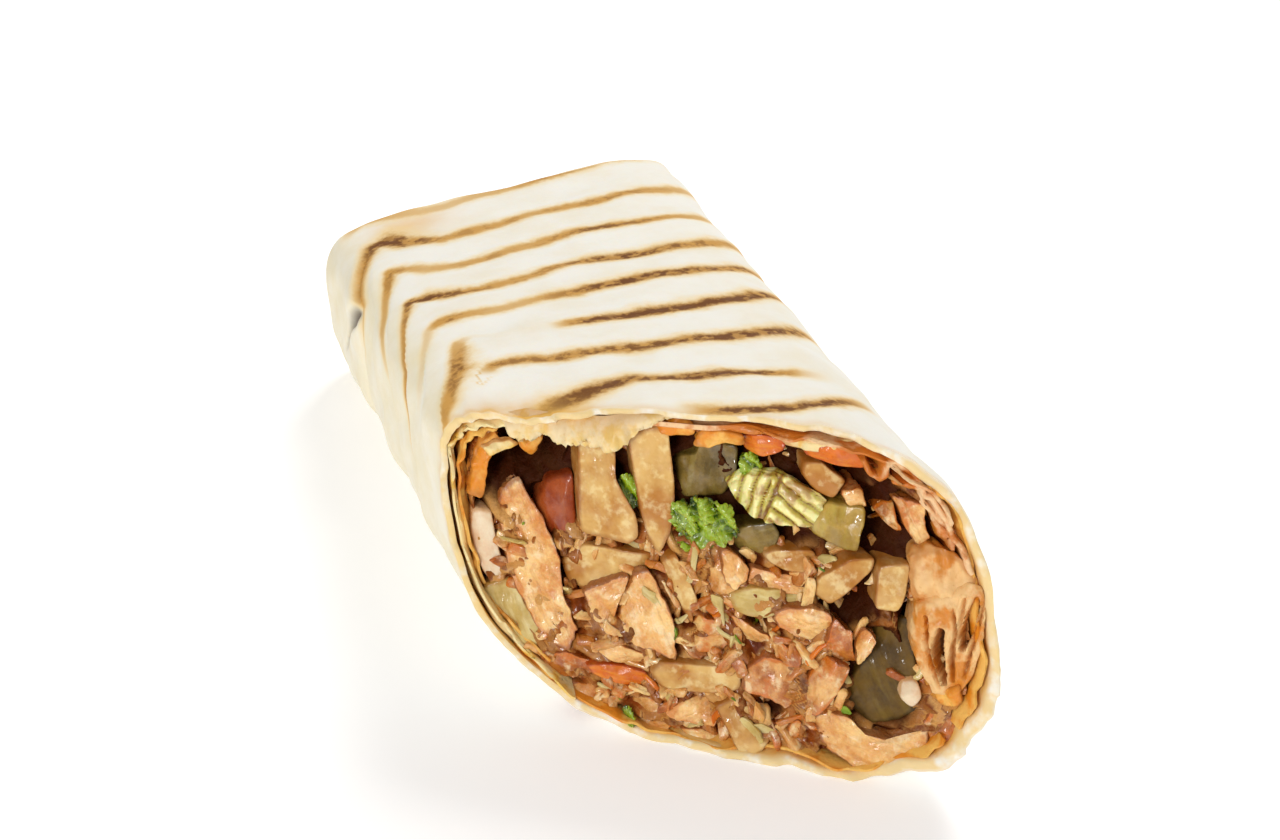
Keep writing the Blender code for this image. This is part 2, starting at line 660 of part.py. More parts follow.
def build_filling(hold, cutters):
    finish = material("chicken", (0.70, 0.44, 0.30), 0.40)
    filling = place("chicken_filling", core_mesh(), finish)
    chunks = []
    for index, (at, size, turn, tip, recess) in enumerate(CHICKEN):
        mesh = block_mesh("chunk", millimetres(size), 0.30, 0.13, 40 + index)
        mesh.transform(on_face(millimetres(at), size[2] / 1000, turn, tip, recess / 1000))
        chunk = place(f"chunk_{index}", mesh, finish)
        combine(chunk, [hold], "INTERSECT", "MANIFOLD")
        chunks.append(chunk)
    combine(filling, chunks, "UNION", "MANIFOLD")
    combine(filling, cutters, "DIFFERENCE", "MANIFOLD")
    remove(chunks)
    return filling


def build_flatbread():
    finish = material("flatbread", (0.89, 0.82, 0.70), 0.75)
    flatbread = place("flatbread", flatbread_mesh(), finish)
    fold = place("fold", fold_mesh(), finish)
    combine(flatbread, [fold], "UNION")
    remove([fold])
    return flatbread


def stand_on_origin(objects):
    """Moves everything so that the origin is at the middle of the underside's box."""
    points = np.vstack([[vert.co for vert in obj.data.vertices] for obj in objects])
    low, high = points.min(axis=0), points.max(axis=0)
    shift = Matrix.Translation((-(low[0] + high[0]) / 2, -(low[1] + high[1]) / 2, -low[2]))
    for obj in objects:
        obj.data.transform(shift)


def shade(objects):
    for obj in objects:
        obj.data.shade_smooth()
        obj.data.set_sharp_from_angle(angle=math.radians(40))


def main():
    for obj in list(bpy.data.objects):
        bpy.data.objects.remove(obj)
    plain = material("helper", (0.5, 0.5, 0.5), 0.5)
    hold = as_helper(place("hold", hold_mesh(HEAP_OVERHANG), plain))
    flatbread = build_flatbread()
    pieces, cutters = build_pieces(hold)
    fold_room = as_helper(place("fold_room", fold_room_mesh(), plain))
    filling = build_filling(hold, cutters + [fold_room])
    remove([*cutters, fold_room, hold])
    nodes = [flatbread, filling, *pieces]
    stand_on_origin(nodes)
    shade(nodes)


main()
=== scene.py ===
"""Half of a grilled shawarma wrap, cut on the slant: rolled flatbread round chicken, fries and vegetables.

X runs across the wrap, Y along it from the cut (-Y) to the folded end (+Y), and Z is up.
Sizes are in metres, and the tables of places are in millimetres and degrees.
"""

import math

import bpy
import numpy as np
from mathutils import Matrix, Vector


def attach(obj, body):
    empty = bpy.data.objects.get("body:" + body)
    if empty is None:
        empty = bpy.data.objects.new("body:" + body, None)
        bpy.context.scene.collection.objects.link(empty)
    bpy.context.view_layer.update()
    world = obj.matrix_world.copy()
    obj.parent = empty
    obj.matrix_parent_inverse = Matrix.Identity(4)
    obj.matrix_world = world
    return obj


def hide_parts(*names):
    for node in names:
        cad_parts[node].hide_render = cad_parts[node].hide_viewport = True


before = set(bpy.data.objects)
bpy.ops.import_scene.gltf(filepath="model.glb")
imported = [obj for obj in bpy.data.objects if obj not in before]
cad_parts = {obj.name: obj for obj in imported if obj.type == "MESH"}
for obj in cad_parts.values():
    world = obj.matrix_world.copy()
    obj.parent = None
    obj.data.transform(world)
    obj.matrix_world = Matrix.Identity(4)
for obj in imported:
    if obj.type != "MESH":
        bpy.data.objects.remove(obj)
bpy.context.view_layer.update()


# The flatbread
# One thin soft sheet of flour dough, rolled round the filling and folded shut at the far end. A ribbed
# press toasts it and leaves a row of brown marks over the top. At the cut its edge is thin and torn.
CUT_Y, END_Y = -0.066, 0.069
CUT_HALF_WIDTH, CUT_TOP, CUT_BASE, CUT_DEPTH = 0.0368, 0.0288, 0.0300, 0.0282
END_HALF_WIDTH, END_HALF_HEIGHT, END_DEPTH = 0.0348, 0.0162, 0.0154
CUT_SIDE_SHIFT, END_SIDE_SHIFT, CUT_TOP_SLOPE = -0.0005, -0.0022, 0.07
CUT_SLANT, CUT_LEAN, END_SKEW = math.radians(36.4), math.radians(16.3), math.radians(6.0)
CUT_POWERS = (3.1, 4.7, 2.05, 2.4)
END_POWERS = (6.0, 5.0, 4.2, 4.2)
PLACE_IN_PART = np.array([0.000647, 0.011735, 0.0])
SHEET = 0.0013
END_ROUNDING, END_WALL = 0.0042, 0.0040
SEAM_STEP, SEAM_ANGLE = 0.0013, -36.0
BREAD_COLUMNS = 320


def ease(value, low, high):
    """A smooth step from 0 at low to 1 at high."""
    share = np.clip((value - low) / (high - low), 0, 1)
    return share * share * (3 - 2 * share)


def bell(value, middle, width):
    """A smooth hump of height 1 about a middle."""
    return np.exp(-(((value - middle) / width) ** 2))


def mixed(first, second, share):
    return first + (second - first) * share


def ripple(points, size, seed, waves=16):
    """Uneven height from about -1 to 1: sine waves of about one size in seeded directions, added up."""
    rng = np.random.default_rng(seed)
    directions = rng.normal(size=(waves, points.shape[-1]))
    directions /= np.linalg.norm(directions, axis=1)[:, None]
    directions *= (2 * np.pi / (size * rng.uniform(0.7, 1.5, waves)))[:, None]
    phases = rng.uniform(0, 2 * np.pi, waves)
    return np.sin(points @ directions.T + phases).sum(axis=-1) / math.sqrt(waves)


def section_outline(angle, half_width, top, base, powers):
    """Section outline (x, z) about its middle: a superellipse with its own power in each quarter."""
    c, s = np.cos(angle), np.sin(angle)
    upper = np.where(c >= 0, powers[0], powers[1])
    lower = np.where(c >= 0, powers[3], powers[2])
    power = 2 / np.where(s >= 0, upper, lower)
    x = half_width * np.sign(c) * np.abs(c) ** power
    z = np.where(s >= 0, top, base) * np.sign(s) * np.abs(s) ** power
    return x, z


def end_outline(angle):
    x, z = section_outline(angle, END_HALF_WIDTH, END_HALF_HEIGHT, END_HALF_HEIGHT, END_POWERS)
    return x, np.maximum(z, -END_DEPTH)


def cut_outline(angle):
    x, z = section_outline(angle, CUT_HALF_WIDTH, CUT_TOP, CUT_BASE, CUT_POWERS)
    z = z + CUT_TOP_SLOPE * x * np.clip(z / CUT_TOP, 0, 1)
    return x, np.maximum(z, -CUT_DEPTH)


def cut_line(x, z):
    """Where the knife's slanting plane is: it runs back to the left, and leans back with height."""
    return CUT_Y - x * math.tan(CUT_SLANT) + (z - CUT_DEPTH) * math.tan(CUT_LEAN)


def end_line(x):
    return END_Y + x * math.tan(END_SKEW)


def bread_point(angle, along, inset):
    """Points in the bread: the end's and the cut's outlines mixed by along, drawn in by the inset."""
    xe, ze = end_outline(angle)
    xc, zc = cut_outline(angle)
    in_x = 1 - inset / mixed(END_HALF_WIDTH, CUT_HALF_WIDTH, along)
    in_z = 1 - inset / mixed(END_DEPTH, CUT_DEPTH, along)
    x = mixed(xe, xc, along) * in_x + mixed(END_SIDE_SHIFT, CUT_SIDE_SHIFT, along)
    z = mixed(ze, zc, along) * in_z + mixed(END_DEPTH, CUT_DEPTH, along)
    y = mixed(end_line(x), cut_line(x, z), along)
    return np.stack(np.broadcast_arrays(x, y, z), axis=-1) + PLACE_IN_PART


def even_angles(start, stop, count):
    """Angles in degrees that space points evenly round the middle section, as radians."""
    fine = np.radians(np.linspace(start, stop, 4001))
    points = bread_point(fine, 0.5, 0.0)
    travel = np.concatenate([[0], np.cumsum(np.hypot(np.diff(points[:, 0]), np.diff(points[:, 2])))])
    return np.interp(np.linspace(0, travel[-1], count), travel, fine)


def grid_normals(points, closed):
    """Unit normals of a grid of points, from its steps along the rows and the columns."""
    down = np.gradient(points, axis=0)
    if closed:
        across = (np.roll(points, -1, axis=1) - np.roll(points, 1, axis=1)) / 2
    else:
        across = np.gradient(points, axis=1)
    normal = np.cross(across, down)
    return normal / np.maximum(np.linalg.norm(normal, axis=-1, keepdims=True), 1e-12)


def skin_faces(rows, columns):
    """Faces over a grid that closes round its columns, with one point to close each end."""
    index = np.arange(rows * columns).reshape(rows, columns)
    after = np.roll(index, -1, axis=1)
    quads = np.stack([index[:-1], index[1:], after[1:], after[:-1]], axis=-1).reshape(-1, 4)
    first = np.full(columns, rows * columns)
    start = np.stack([index[0], after[0], first], axis=-1)
    finish = np.stack([after[-1], index[-1], first + 1], axis=-1)
    return quads.tolist() + start.tolist() + finish.tolist()


def outward(points, faces):
    """The faces, all turned over if they enclose a negative volume."""
    corners = np.array([face[:3] for face in faces])
    a, b, c = (points[corners[:, i]] - points.mean(axis=0) for i in range(3))
    volume = np.einsum("ij,ij->i", a, np.cross(b, c)).sum()
    quads = np.array([face for face in faces if len(face) == 4])
    if len(quads):
        a, b, c = (points[quads[:, i]] - points.mean(axis=0) for i in (0, 2, 3))
        volume += np.einsum("ij,ij->i", a, np.cross(b, c)).sum()
    return faces if volume > 0 else [face[::-1] for face in faces]


def piece(name, points, faces, finish, fields, crease=60):
    """An object of points and faces with a finish, and fields kept on its points for the finish to read."""
    mesh = bpy.data.meshes.new(name)
    mesh.from_pydata(points.tolist(), [], faces)
    for key, values in fields.items():
        values = np.asarray(values, dtype=np.float32)
        kind, slot = ("FLOAT_VECTOR", "vector") if values.ndim == 2 else ("FLOAT", "value")
        mesh.attributes.new(key, kind, "POINT").data.foreach_set(slot, values.ravel())
    mesh.materials.append(finish)
    mesh.shade_smooth()
    mesh.set_sharp_from_angle(angle=math.radians(crease))
    made = bpy.data.objects.new(name, mesh)
    bpy.context.scene.collection.objects.link(made)
    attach(made, "root")
    return made


class Signal:
    """A value, colour or vector of a material, with the sums that its shader is written in."""

    def __init__(self, tree, socket):
        self.tree = tree
        self.socket = socket

    def node(self, kind, settings=None, inputs=None, output=0):
        """Adds a node of a type with its settings and its sockets' values or links, and gives one output."""
        made = self.tree.nodes.new(kind)
        for name, value in (settings or {}).items():
            if name == "stops":
                ramp = made.color_ramp
                while len(ramp.elements) < len(value):
                    ramp.elements.new(0.5)
                for element, (position, colour) in zip(ramp.elements, value):
                    element.position = position
                    element.color = (*colour, 1.0)
            else:
                setattr(made, name, value)
        for key, value in (inputs or {}).items():
            if isinstance(value, Signal):
                self.tree.links.new(value.socket, made.inputs[key])
            else:
                made.inputs[key].default_value = value
        return Signal(self.tree, made.outputs[output])

    def sum(self, operation, first, second):
        return self.node("ShaderNodeMath", {"operation": operation}, {0: first, 1: second})

    def __add__(self, other):
        return self.sum("ADD", self, other)

    def __radd__(self, other):
        return self.sum("ADD", other, self)

    def __sub__(self, other):
        return self.sum("SUBTRACT", self, other)

    def __rsub__(self, other):
        return self.sum("SUBTRACT", other, self)

    def __mul__(self, other):
        return self.sum("MULTIPLY", self, other)

    def __rmul__(self, other):
        return self.sum("MULTIPLY", other, self)


def new_finish(name, settings):
    """A Principled material with its constant settings, its shader and its place on the object."""
    made = bpy.data.materials.new(name)
    made.use_nodes = True
    tree = made.node_tree
    shader = tree.nodes["Principled BSDF"]
    for socket, value in settings.items():
        shader.inputs[socket].default_value = value
    place = tree.nodes.new("ShaderNodeTexCoord")
    return made, shader, Signal(tree, place.outputs["Object"])


def field(signal, name, output=2):
    """A field kept on the piece's points: output 2 is a number, and 1 a vector."""
    return signal.node("ShaderNodeAttribute", {"attribute_name": name}, output=output)


def noise(place, size, detail=3.0, roughness=0.55):
    """Cloudy noise from 0 to 1 whose features are about a size in metres."""
    inputs = {"Vector": place, "Scale": 1 / size, "Detail": detail, "Roughness": roughness}
    return place.node("ShaderNodeTexNoise", {}, inputs)


def stepped(signal, low, high, bottom=0.0, top=1.0):
    """A smooth step of a value from bottom at low to top at high."""
    inputs = {"Value": signal, "From Min": low, "From Max": high, "To Min": bottom, "To Max": top}
    return signal.node("ShaderNodeMapRange", {"interpolation_type": "SMOOTHSTEP"}, inputs)


def blend(share, first, second):
    """Two colours mixed by a share: a colour is three numbers or a signal."""
    first = first if isinstance(first, Signal) else (*first, 1.0)
    second = second if isinstance(second, Signal) else (*second, 1.0)
    return share.node("ShaderNodeMix", {"data_type": "RGBA"}, {0: share, 6: first, 7: second}, output=2)


def stretched(place, scale):
    """A place with each axis scaled, so that a pattern gets longer along one of them."""
    return place.node("ShaderNodeVectorMath", {"operation": "MULTIPLY"}, {0: place, 1: scale})


def connect(shader, links):
    """Links signals to the shader's sockets."""
    for socket, signal in links.items():
        signal.tree.links.new(signal.socket, shader.inputs[socket])


def relief(heights):
    """A normal from heights in metres, each with its strength, laid over one another."""
    normal = None
    for height, strength, distance in heights:
        inputs = {"Height": height, "Strength": strength, "Distance": distance}
        if normal:
            inputs["Normal"] = normal
        normal = height.node("ShaderNodeBump", {}, inputs)
    return normal


# Where each bar of the press marked the bread, in millimetres: round the section from the top's middle
# (left is negative), then for each mark where it lies along the wrap, how dark it is and how wide.
# First a mark's usual half width, how far its strength reaches, the offset where there is none, and how far
# apart the marks are.
MARK_WIDTH, MARK_REACH, NO_MARK, MARK_SPACING = 1.9, 2.4, 9.0, 14.5
MARK_ROUND = (-52, -46, -42, -38, -34, -30, -27, -24, -18, -12, -5, 0, 5, 10, 15, 22, 30, 34, 46)
MARKS = [
    (
        (62, 63, 64, 66, 70, 76, 76, 75, 73, 73, 75, 76, 77, 78, 79, 80, 81, 82, 83),
        (0, 0, 0, 0, 0.1, 0.5, 0.5, 0.4, 0.35, 0.35, 0.4, 0.42, 0.5, 0.5, 0.5, 0.45, 0.3, 0.2, 0),
        (1, 1, 1, 1, 1, 1.5, 1.6, 1.4, 1, 1, 1, 1, 1, 1, 1, 1, 1, 1, 1),
    ),
    (
        (42, 42, 43, 44, 52, 63, 62.5, 59, 55, 56, 57.5, 58.3, 59, 59.3, 59.6, 60.5, 61.5, 62, 63),
        (0, 0.25, 0.4, 0.5, 0.55, 0.9, 1.0, 0.8, 0.5, 0.5, 0.5, 0.45, 0.5, 0.5, 0.55, 0.5, 0.4, 0.3, 0),
        (1, 1.4, 1.6, 1.6, 1.5, 1.9, 2.2, 1.7, 1, 1, 0.9, 0.9, 0.9, 0.9, 0.9, 0.9, 0.9, 0.8, 0.8),
    ),
    (
        (12, 15, 21, 27, 35.5, 45, 43.5, 41, 39.5, 41, 43, 44.3, 44.6, 44.2, 44.2, 45, 47, 48, 49),
        (0, 0.1, 0.25, 0.4, 0.45, 0.6, 0.45, 0.4, 0.45, 0.5, 0.45, 0.5, 0.65, 0.7, 0.6, 0.55, 0.4, 0.3, 0),
        (1, 1, 1, 1.1, 1.2, 1.1, 1, 1, 0.9, 0.9, 0.9, 0.9, 0.9, 0.9, 0.9, 0.9, 0.9, 0.8, 0.8),
    ),
    (
        (-2, 3, 5, 8, 18, 29, 28, 26.5, 25, 25.5, 28, 29.5, 30, 29.5, 29.5, 30, 32.5, 33, 34),
        (0, 0.5, 0.85, 0.8, 0.6, 0.75, 0.95, 0.75, 0.55, 0.5, 0.5, 0.6, 0.85, 0.85, 0.7, 0.65, 0.5, 0.35, 0),
        (1, 1, 1.1, 1.1, 1, 1.1, 1.2, 1.1, 0.9, 0.9, 0.9, 0.9, 1, 1, 1, 0.9, 0.9, 0.9, 0.8),
    ),
    (
        (-12, -10, -6, -3, 4, 12, 13, 13, 13, 14.5, 15.5, 16, 16, 16.3, 16.6, 16, 20, 21, 22),
        (0, 0, 0.1, 0.2, 0.25, 0.3, 0.7, 0.5, 0.4, 0.4, 0.55, 0.7, 0.85, 0.95, 0.85, 0.75, 0.65, 0.4, 0),
        (1, 1, 1, 1, 1, 0.9, 1, 0.9, 0.8, 0.8, 0.9, 0.9, 1, 1.05, 1, 1, 0.9, 0.8, 0.8),
    ),
    (
        (-32, -30, -28, -24.5, -17.5, -9, 2.4, 3.4, -0.5, 0, 0, 0.3, 0.8, 0.8, 0.6, 2, 6.5, 8.5, 10),
        (0, 0.1, 0.3, 0.4, 0.68, 0.7, 0.4, 0.15, 0.1, 0.1, 0.8, 0.95, 1.0, 1.0, 1.0, 0.9, 0.7, 0.5, 0),
        (1, 0.8, 0.8, 1.2, 1.9, 1.7, 0.8, 0.3, 0.8, 0.8, 1, 1.1, 1.2, 1.2, 1.2, 1.1, 1, 0.9, 0.8),
    ),
    (
        (-40, -36, -33, -26, -23, -20, -15, -12, -13, -14,
         -14.5, -15.3, -15.8, -16, -16, -15, -10.5, -9, -8),
        (0, 0, 0, 0, 0, 0, 0.1, 0.6, 0.6, 0.65, 0.7, 0.7, 0.75, 0.8, 0.85, 0.9, 0.7, 0.2, 0),
        (1, 1, 1, 1, 1, 1, 0.9, 0.8, 0.9, 1, 1, 1.05, 1.1, 1.1, 1.15, 1.15, 1, 0.8, 0.8),
    ),
    (
        (-50, -48, -46, -44, -42, -40, -38, -35, -31.5, -30,
         -28.6, -30.3, -31.5, -32.3, -33.5, -34, -33, -32, -31),
        (0, 0, 0, 0, 0, 0, 0, 0.5, 1.0, 1.0, 0.75, 0.75, 0.9, 1.0, 0.9, 0.3, 0, 0, 0),
        (1, 1, 1, 1, 1, 1, 1, 1.4, 1.6, 1.4, 1.0, 1.0, 1.1, 1.1, 0.9, 0.8, 0.8, 0.8, 0.8),
    ),
    (
        (-60, -60, -60, -60, -60, -58, -56, -54, -50, -48,
         -45, -44.5, -47, -48.6, -48.7, -47.5, -43, -41, -40),
        (0, 0, 0, 0, 0, 0, 0, 0, 0, 0, 0, 0.3, 0.75, 0.85, 0.85, 0.8, 0.3, 0, 0),
        (1, 1, 1, 1, 1, 1, 1, 1, 1, 1, 0.9, 0.9, 1.0, 1.0, 1.0, 1.0, 0.8, 0.8, 0.8),
    ),
]


def arc_from_top(points, angle):
    """Distance round the section from the middle of the top, in millimetres, less than 0 on the left."""
    step = np.diff(points, axis=1)
    travel = np.cumsum(np.hypot(step[..., 0], step[..., 2]), axis=1) * 1000
    travel = np.concatenate([np.zeros((len(points), 1)), travel], axis=1)
    top = np.argmin(np.abs(angle - np.pi / 2))
    return travel[:, top : top + 1] - travel


def press_marks(around, along):
    """The strongest mark at each point: the distance to its nearest stretch over its width, and how dark
    it is. Strength is darkness times a hump about the line, and marks are narrower down the left side."""
    place = np.stack([around, along], axis=-1)[..., None, :]
    offset, dark, best = np.full(around.shape, NO_MARK), np.zeros(around.shape), np.zeros(around.shape)
    for places, darkness, widths in MARKS:
        knots = np.stack([MARK_ROUND, places, darkness, widths], axis=-1).astype(float)
        first, step = knots[:-1], np.diff(knots, axis=0)
        share = ((place - first[:, :2]) * step[:, :2]).sum(axis=-1) / (step[:, :2] ** 2).sum(axis=-1)
        share = np.clip(share, 0, 1)
        away = place - first[:, :2] - share[..., None] * step[:, :2]
        wide = (first[:, 3] + share * step[:, 3]) * mixed(0.45, 1.0, ease(around, -33, -24))[..., None]
        off = np.hypot(away[..., 0], away[..., 1]) / wide
        nearest = np.argmin(off, axis=-1)[..., None]
        off = np.take_along_axis(off, nearest, axis=-1)[..., 0]
        depth = np.take_along_axis(first[:, 2] + share * step[:, 2], nearest, axis=-1)[..., 0]
        strength = (depth + 0.001) * bell(off, 0, MARK_REACH)
        offset, dark = np.where(strength > best, off, offset), np.where(strength > best, depth, dark)
        best = np.maximum(best, strength)
    return np.sqrt(offset**2 + 0.1) / MARK_WIDTH, dark


# The torn edge: where it has come loose, in degrees round the section, and from how far along the wrap it
# reaches and droops, as a share. Then each row of the edge and of the lining: how far in, how far back.
LOOSE_ANGLE, REACH_FROM, DROOP_FROM = 112, 0.80, 0.86
EDGE_INSET, EDGE_REACH = (0.15, 0.40, 0.70, 0.90), (0.0002, 0.0003, 0.0002, 0.0)
LINING_ALONG = (0.992, 0.98, 0.965, 0.945, 0.92, 0.85, 0.7, 0.5, 0.3, 0.1)


def lip_reach(angle):
    """How far the bread's edge stands out of the cut: most at the upper left, and torn in small waves."""
    around = np.stack([np.cos(angle), np.sin(angle)], axis=-1)
    waves = 0.0006 * ripple(around, 0.5, 3) + 0.0003 * ripple(around, 0.12, 4)
    torn = waves + 0.00013 * ripple(around, 0.04, 6)
    return torn + 0.0026 * bell(np.degrees(angle), LOOSE_ANGLE, 20) - 0.0004


def lip_droop(angle):
    """How far the bread's edge sags into the cut: most at the upper left, where it has come loose."""
    around = np.stack([np.cos(angle), np.sin(angle)], axis=-1)
    return 0.0017 * bell(np.degrees(angle), LOOSE_ANGLE, 17) + 0.00025 * ripple(around, 0.3, 5)


def bread_rows(angle):
    """The bread's skin from the middle of the folded end over its side to the cut, and back inside it, in
    six blocks of rows. The end's face is drawn in to its middle, with a slit where its two flaps meet."""
    angle = angle[None, :]
    rim = bread_point(angle, 0.0, END_ROUNDING)
    middle = rim.mean(axis=1, keepdims=True)
    share = np.linspace(0.02, 1, 34)[:, None, None] ** 0.8
    squeeze = np.concatenate([mixed(0.93, 1, share), np.ones_like(share), share], axis=-1)
    face = middle + (rim - middle) * squeeze
    height = (face[..., 2] - middle[..., 2]) * 1000
    slit = 0.0022 * bell(height, 0.0, 0.9) * ease(share[..., 0], 0.9, 0.3)
    face[..., 1] = end_line(face[..., 0] - PLACE_IN_PART[0]) + PLACE_IN_PART[1] - slit
    turn = np.radians(np.linspace(90, 0, 12)[1:-1])[:, None]
    corner = bread_point(angle, 0.0, END_ROUNDING * (1 - np.cos(turn)))
    corner[..., 1] -= END_ROUNDING * (1 - np.sin(turn))
    along = np.linspace(0.03, 1, 226)[:, None]
    side = bread_point(angle, along, lip_droop(angle) * ease(along, DROOP_FROM, 1.0))
    side[..., 1] -= lip_reach(angle) * ease(along, REACH_FROM, 1.0)
    edge = bread_point(angle, 1.0, lip_droop(angle) + np.array(EDGE_INSET)[:, None] * SHEET)
    edge[..., 1] -= lip_reach(angle) + np.array(EDGE_REACH)[:, None]
    along = np.array(LINING_ALONG)[:, None]
    lining = bread_point(angle, along, SHEET + lip_droop(angle) * ease(along, DROOP_FROM, 1.0))
    lining[..., 1] -= lip_reach(angle) * ease(along, REACH_FROM, 1.0)
    back = bread_point(angle, 0.0, END_ROUNDING)
    back[..., 1] -= SHEET * 1.5
    return [face, corner, side, edge, lining, back]


# What each row of the skin is part of, after the end's face, which is 0
END_CORNER, SIDE, EDGE, LINING = 1, 2, 3, 4
bread_angle = even_angles(SEAM_ANGLE, SEAM_ANGLE + 360, BREAD_COLUMNS + 1)[:-1]
blocks = bread_rows(bread_angle)
bread_points = np.concatenate(blocks)
row = np.concatenate([np.full(len(block), kind) for kind, block in enumerate(blocks)])[:, None]
bread_round = arc_from_top(bread_points, bread_angle)
bread_along = bread_points[..., 1] * 1000
from_cut = bread_along - bread_along[row[:, 0] == SIDE][-1]

# The marks press the bread in. Down the left side it lies in pleats between them, with a crease beyond the
# second one and a gap where the end is folded in.
mark_offset, mark_dark = press_marks(bread_round, bread_along)
mark_dark = np.where(row == SIDE, mark_dark, mark_dark * (row == END_CORNER) * 0.6)
left_face = ease(-bread_round, 29, 35) * ease(-bread_round, 75, 60)
pleat = ((bread_along - np.interp(bread_round, MARK_ROUND, MARKS[3][0])) / MARK_SPACING + 0.04) % 1
pleat_height = pleat**1.4 * ease(pleat, 1.0, 0.82)
past_second = bread_along - np.interp(bread_round, MARK_ROUND, MARKS[1][0])
beyond_crease = ease(past_second, 0.5, 6.0) * left_face
crease = bell(past_second, 1.2, 1.1) * left_face
gap_line = np.interp(bread_round, (-56, -53, -47, -43, -40, -36), (64, 60, 53.5, 48.5, 46.5, 46))
gap_wide = mixed(0.7, 1.7, bell(bread_round, -42.5, 3.5))
gap = bell(bread_along - gap_line, 0, gap_wide) * ease(-bread_round, 38, 41) * ease(-bread_round, 54, 49)
seam_rise = SEAM_STEP * ease(np.arange(BREAD_COLUMNS) / BREAD_COLUMNS, 0.86, 1.0)[None, :]
seam_rise = seam_rise * mixed(0.3, 1.0, ease(from_cut, 0, 9))
waves = 0.00028 * ripple(bread_points, 0.020, 21) + 0.00010 * ripple(bread_points, 0.007, 22)
swell = waves + seam_rise - 0.00030 * mark_dark * bell(mark_offset, 0, 1.3)
swell = swell + left_face * (0.0007 * pleat_height * (1 - beyond_crease) - 0.0003)
swell = swell + 0.0009 * beyond_crease - 0.0009 * crease - 0.0016 * gap
swell = np.where(row <= SIDE, swell, 0.0) + np.where(row == EDGE, seam_rise * 0.5, 0.0)
bread_points = bread_points + grid_normals(bread_points, closed=True) * swell[..., None]
bread_points[..., 2] = np.maximum(bread_points[..., 2], 0.0)
poles = np.stack([bread_points[0].mean(axis=0), bread_points[-1].mean(axis=0)])

scorch = bell(bread_round, -21, 7) * bell(bread_along, 67, 6)
torn_stain = 0.9 * bell(from_cut, 0, 5.5) * bell(bread_round, -23, 8) + 0.4 * bell(from_cut, 0, 1.4)


def on_skin(values, at_poles=(0, 0)):
    """A field's values at every point of the skin, and at its two poles."""
    return np.append(np.broadcast_to(values, bread_round.shape).ravel(), at_poles)


bread_fields = {
    "mark_offset": on_skin(mark_offset, (NO_MARK, NO_MARK)),
    "mark_dark": on_skin(mark_dark),
    "stain": on_skin((row >= LINING) + np.where(row == SIDE, torn_stain, 0.0), (0, 1)),
    "scorch": on_skin(np.where(row <= SIDE, scorch, 0.0)),
    "lip": on_skin(row >= EDGE, (0, 1)),
    "side_face": on_skin(left_face),
    "gap": on_skin(gap),
}


# The side cream is the left face's yellower dough darkened with painted shade
FLOURED, CREAM, SIDE_CREAM = (0.885, 0.855, 0.775), (0.86, 0.795, 0.655), (0.80, 0.71, 0.49)
SCORCHED, MARK_HALO, MARK_TAN = (0.83, 0.55, 0.26), (0.87, 0.63, 0.26), (0.57, 0.275, 0.045)
MARK_CHAR, GAP_SHADE = (0.165, 0.055, 0.007), (0.10, 0.070, 0.045)
LIP_OIL, SAUCE_STAIN = (0.80, 0.56, 0.20), (0.76, 0.43, 0.095)


def bread_finish():
    """Floury cream dough: faint mottling, brown press marks in tan halos, and a sauce stain inside. The left
    face is a yellower cream with painted shade in it. A mark's halo, tan and char are steps of its offset,
    made ragged by noise, and the char is broken into spots."""
    settings = {
        "Subsurface Weight": 0.12, "Subsurface Scale": 0.002, "Subsurface Radius": (1.0, 0.7, 0.4),
        "Specular IOR Level": 0.25,
    }
    made, shader, place = new_finish("flatbread_toasted", settings)
    cloud = noise(place, 0.011, 4.0, 0.6)
    fine = noise(place, 0.0022, 4.0, 0.65)
    offset = field(place, "mark_offset")
    dark = field(place, "mark_dark")
    side = field(place, "side_face")
    dough = blend(stepped(cloud, 0.35, 0.75), FLOURED, CREAM)
    # On the left face the cream turns darker and yellower: the dough's own tone with painted shade
    dough = blend(side * stepped(cloud, 0.3, 0.8, 0.4, 0.95), dough, SIDE_CREAM)
    wobble = (noise(place, 0.0035, 3.0, 0.5) - 0.5) * (1 - side * 0.5)
    ragged = (noise(place, 0.0011, 3.0, 0.6) - 0.5) * (1 - side * 0.7)
    scorched = field(place, "scorch") * stepped(cloud, 0.2, 0.6, 0.6, 1.0)
    dough = blend(scorched * 0.8, dough, SCORCHED)
    halo = stepped(offset + wobble * 1.3 + ragged * 0.6, 2.3, 0.5) * stepped(dark, 0.03, 0.45)
    dough = blend(halo * 0.85, dough, MARK_HALO)
    tan = stepped(offset + wobble * 0.9 + ragged * 0.6, 1.4, 0.35) * stepped(dark, 0.13, 0.55)
    dough = blend(tan * 0.9, dough, MARK_TAN)
    broken = stepped(noise(place, 0.0024, 3.0, 0.6), 0.62, 0.40)
    char = stepped(offset + wobble * 0.7 + ragged * 0.8, 0.98, 0.30)
    char = char * stepped(dark * (broken * 0.45 + 0.62), 0.38, 0.85)
    dough = blend(char * (1 - side * 0.75), dough, MARK_CHAR)
    dough = blend(field(place, "gap") * 0.93, dough, GAP_SHADE)
    lip = field(place, "lip") * stepped(noise(place, 0.004, 3.0), 0.28, 0.55)
    dough = blend(lip * 0.8, dough, LIP_OIL)
    stained = field(place, "stain") * stepped(noise(place, 0.006, 3.0), 0.3, 0.6, 0.55, 1.0)
    dough = blend(stained, dough, SAUCE_STAIN)
    pores = noise(place, 0.0007, 2.0)
    bumps = relief([(cloud, 0.25, 0.0012), (fine, 0.35, 0.00035), (pores, 0.25, 0.0001)])
    connect(shader, {"Base Color": dough, "Roughness": stepped(fine, 0.2, 0.8, 0.62, 0.85), "Normal": bumps})
    return made


